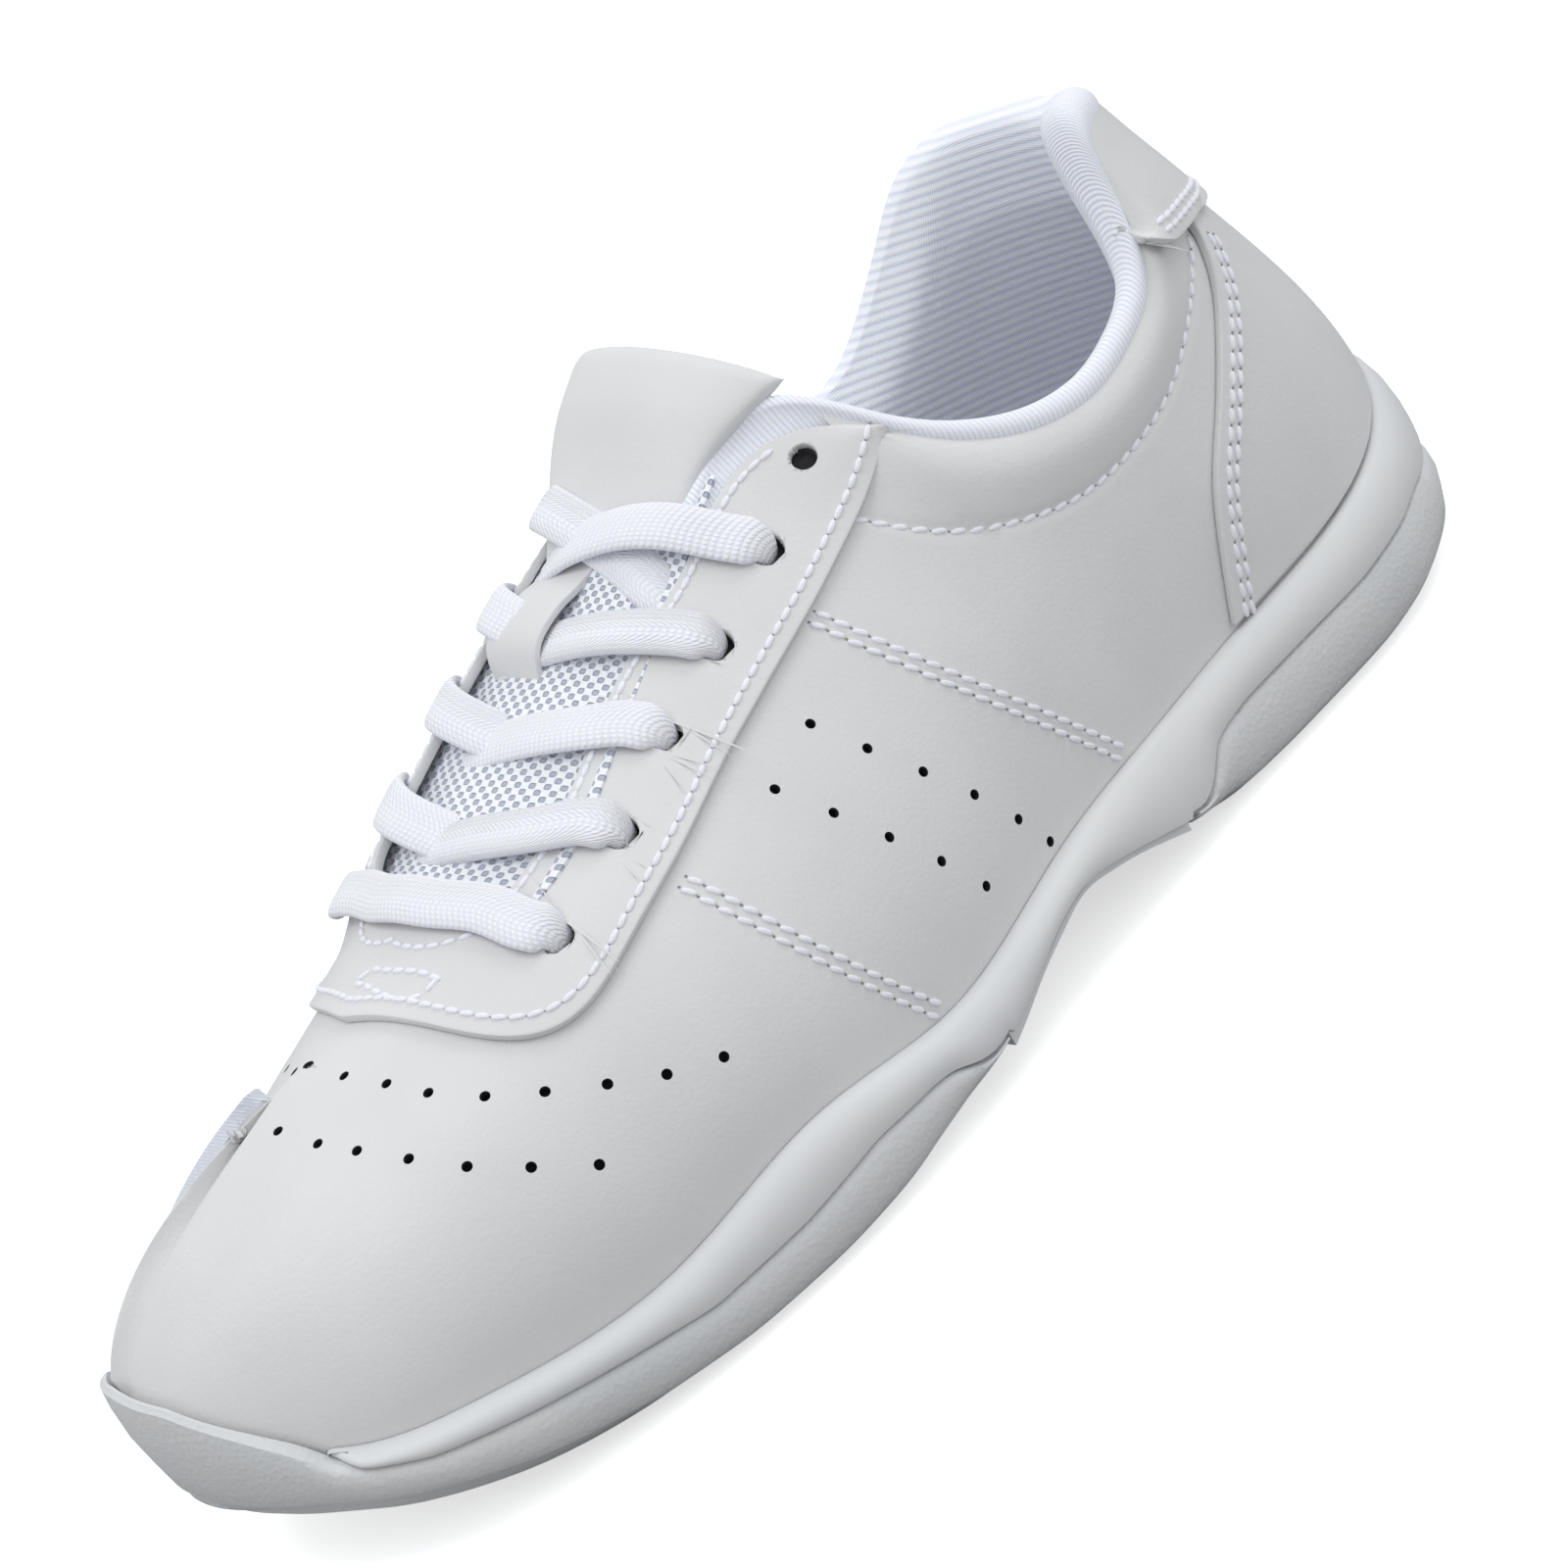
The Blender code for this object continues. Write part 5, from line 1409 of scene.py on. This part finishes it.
def treadHeight(base, edge):
    def height(shares, rows):
        dish = (4 * shares * (1 - shares)) ** 0.35
        level = base[:, None] * dish[None, :] + edge[:, None] * (1 - dish)[None, :]
        wave = soleSizes["treadWave"] * np.sin(rows[..., 1] * 2 * np.pi / soleSizes["waveLength"])
        phase = (rows[..., 0] + wave) / soleSizes["treadPitch"]
        near = np.abs(phase - np.round(phase)) * 2
        groove = 1 - smoothStep((near - soleSizes["treadGroove"] * 0.55) / (soleSizes["treadGroove"] * 0.6))
        inner = smoothStep((np.minimum(shares, 1 - shares) - 0.07) / 0.04)[None, :]
        return level + soleSizes["treadDepth"] * groove * inner
    return height


def outsolePiece(name, start, end, nodeName, stations):
    a = start + (end - start) * np.linspace(0, 1, stations)
    if start == 0:
        a = end * np.linspace(0, 1, stations) ** 1.25
    if end == 1:
        a = 1 - (1 - start) * np.linspace(1, 0, stations) ** 1.25
    top = splitAt(a)
    low = heightOf("under", a)
    middle = heightOf("middle", a)
    tuck = 1 - smoothStep(np.abs(a - (end if start == 0 else start)) / 0.03)
    toe = 1 - smoothStep((a - 0.05) / 0.08) if start == 0 else 0
    bulge = soleSizes["bulge"] - 0.25 * tuck - soleSizes["toeSlim"] * toe
    tall = top - low
    inner = soleSizes["lipGap"] + 0.55
    corner = np.minimum(np.maximum(middle + soleSizes["rubber"], low + 2.4), top - 0.3)
    one = np.ones_like(a)
    steps = [(inner * one, corner), (inner * one, corner * 0.5 + top * 0.5), (inner * one, top),
             (inner * one + 0.5, top + 0.05), (np.maximum(bulge - 1.2, inner + 0.6), top - 0.05),
             (bulge - 0.4, top - 0.4),
             (bulge, top - 0.16 * tall), (bulge + 0.15, top - 0.4 * tall),
             (bulge - 0.35, low + 0.38 * tall), (bulge - 1.0 + 0.6 * tuck, low + 0.16 * tall),
             (bulge - 2.3 + 1.5 * tuck, low + 0.05 * tall), (bulge - 4.2 + 2.2 * tuck, low * 0.75 + middle * 0.25)]
    lateral, medial = halfSection(a, steps)
    under = acrossRows(lateral[:, -1], medial[:, -1], 64, treadHeight(middle, low * 0.75 + middle * 0.25))
    roof = (middle + soleSizes["rubber"])[:, None]
    inside = acrossRows(medial[:, 0], lateral[:, 0], 6, lambda s, r: np.repeat(roof, 6, 1))
    rims = np.concatenate([lateral, under, medial[:, ::-1], inside], axis=1)
    piece = loftPiece(name, rims, True)
    finishPiece(piece, "rubber", [nodeName], angle=50)


def midsolePiece():
    pads = (soleSizes["forefootEnd"], soleSizes["heelStart"])
    a = np.unique(np.concatenate([np.linspace(0, 1, 200), pads[0] + np.array([0, 0.003, 0.006]),
                                  pads[1] - np.array([0, 0.003, 0.006]),
                                  soleSizes["notch"] + np.array([-0.004, 0.0, 0.0015, 0.003, 0.006])]))
    padded = (a <= pads[0] + 0.0035) | (a >= pads[1] - 0.0035)
    walled = smoothStep((a - soleSizes["notch"]) / 0.0035)
    floorZ = heightOf("floor", a)
    top = splitAt(a)
    low = heightOf("under", a)
    middle = heightOf("middle", a)
    tray = np.minimum(np.maximum(middle + soleSizes["rubber"], low + 2.4), top - 0.3)
    lip = (footRing(a)[:, 2] + 0.35) * walled + (floorZ + 0.6) * (1 - walled)
    lower = np.where(padded, top + 0.12, low + 0.1)
    underZ = np.where(padded, middle + soleSizes["rubber"] + 1.0, middle)
    underEdge = np.where(padded, tray + 0.7, middle)
    lower = lower * walled + np.maximum(floorZ - 1.0, underEdge + 0.2) * (1 - walled)
    inner = soleSizes["lipGap"] - 0.1 * (1 - walled)
    swell = smoothStep((a - soleSizes["notch"] + 0.001) / 0.022)
    bulge = soleSizes["bulge"] * swell + 0.4 * (1 - swell)
    corner = np.where(padded, soleSizes["lipGap"] + 0.5, bulge - 1.8)
    tall = lip - lower
    steps = [(inner, floorZ), (inner, lip - 1.2), (inner, lip - 0.15), (inner + 0.35 * walled, lip),
             (inner + 1.3 * walled, lip - 0.05), (bulge * 0.62, lip - 0.09 * tall), (bulge * 0.86, lip - 0.26 * tall),
             (bulge, lip - 0.5 * tall), (bulge + 0.1 * walled, lip - 0.7 * tall), (bulge - 0.05, lower + 0.12 * tall),
             (bulge - 0.35 * walled, lower + 0.02 * tall), (np.maximum(bulge - 1.0, corner), lower),
             (corner, lower), (corner - 0.05, underEdge)]
    lateral, medial = halfSection(a, steps)

    def archRise(shares, rows):
        dome = (4 * shares * (1 - shares)) ** 0.5
        return underEdge[:, None] * (1 - dome) + underZ[:, None] * dome

    under = acrossRows(lateral[:, -1], medial[:, -1], 16, archRise)
    inside = acrossRows(medial[:, 0], lateral[:, 0], 5, lambda s, r: np.repeat(floorZ[:, None], 5, 1))
    loops = np.concatenate([lateral, under, medial[:, ::-1], inside], axis=1)
    piece = loftPiece("midsoleCup", loops, False)
    finishPiece(piece, "foam", ["midsole"], angle=50)


def socklinerPiece():
    a = np.linspace(0, 1, 160)
    floorZ = heightOf("floor", a)
    low = floorZ + soleSizes["sock"]
    top = low + soleSizes["sockThickness"]
    out = np.full_like(a, -6.0)
    steps = [(out + 0.6, low), (out, low + 0.5), (out, top - 0.3), (out - 0.5, top + 0.5), (out - 2.5, top + 0.4)]
    lateral, medial = halfSection(a, steps[::-1])
    dish = lambda s, r: (top + 0.3)[:, None] - 1.0 * (4 * s * (1 - s))[None, :]
    under = acrossRows(lateral[:, -1], medial[:, -1], 6, lambda s, r: np.repeat(low[:, None], 6, 1))
    inside = acrossRows(medial[:, 0], lateral[:, 0], 16, dish)
    loops = np.concatenate([lateral, under, medial[:, ::-1], inside], axis=1)
    piece = loftPiece("socklinerCloth", loops, False)
    finishPiece(piece, "cloth", ["sockliner"], angle=50)


def solePieces():
    outsolePiece("forefootRubber", 0.0, soleSizes["forefootEnd"], "outsole_forefoot", 330)
    outsolePiece("heelRubber", soleSizes["heelStart"], 1.0, "outsole_heel", 230)
    midsolePiece()
    socklinerPiece()
    print("soles and sockliner made")


liningSizes = {"reach": 0.575, "foot": 0.02, "lift": -3.6, "thickness": 0.8}


def liningPiece():
    def place(u, v):
        a = (2 * u - 1) * liningSizes["reach"]
        foot = liningSizes["foot"]
        return skin(a, foot + v * (panelTop(a) - foot), liningSizes["lift"])
    piece = drapedGrid("vampLining", 160, 50, place, weld=True)
    thicken(piece, liningSizes["thickness"])
    finishPiece(piece, "cloth", ["vamp_lining"])


def carriedNodes():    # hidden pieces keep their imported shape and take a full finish
    looks = {"insole_board": "board", "toe_puff": "stiff", "heel_stiffener": "stiff", "collar_foam": "padding",
             "tongue_lining": "cloth", "aglet_lateral": "plastic", "aglet_medial": "plastic"}
    for name, finish in looks.items():
        packed = frame["nodes"][name]
        packed.data.materials.clear()
        packed.data.materials.append(finishes[finish])


upperPanels()
eyestayPiece()
heelPieces()
seamRows()
collarPiece()
tonguePieces()
keeperPiece()
lacePiece()
solePieces()
liningPiece()
carriedNodes()

bpy.ops.object.select_all(action="DESELECT")
print("all pieces placed")
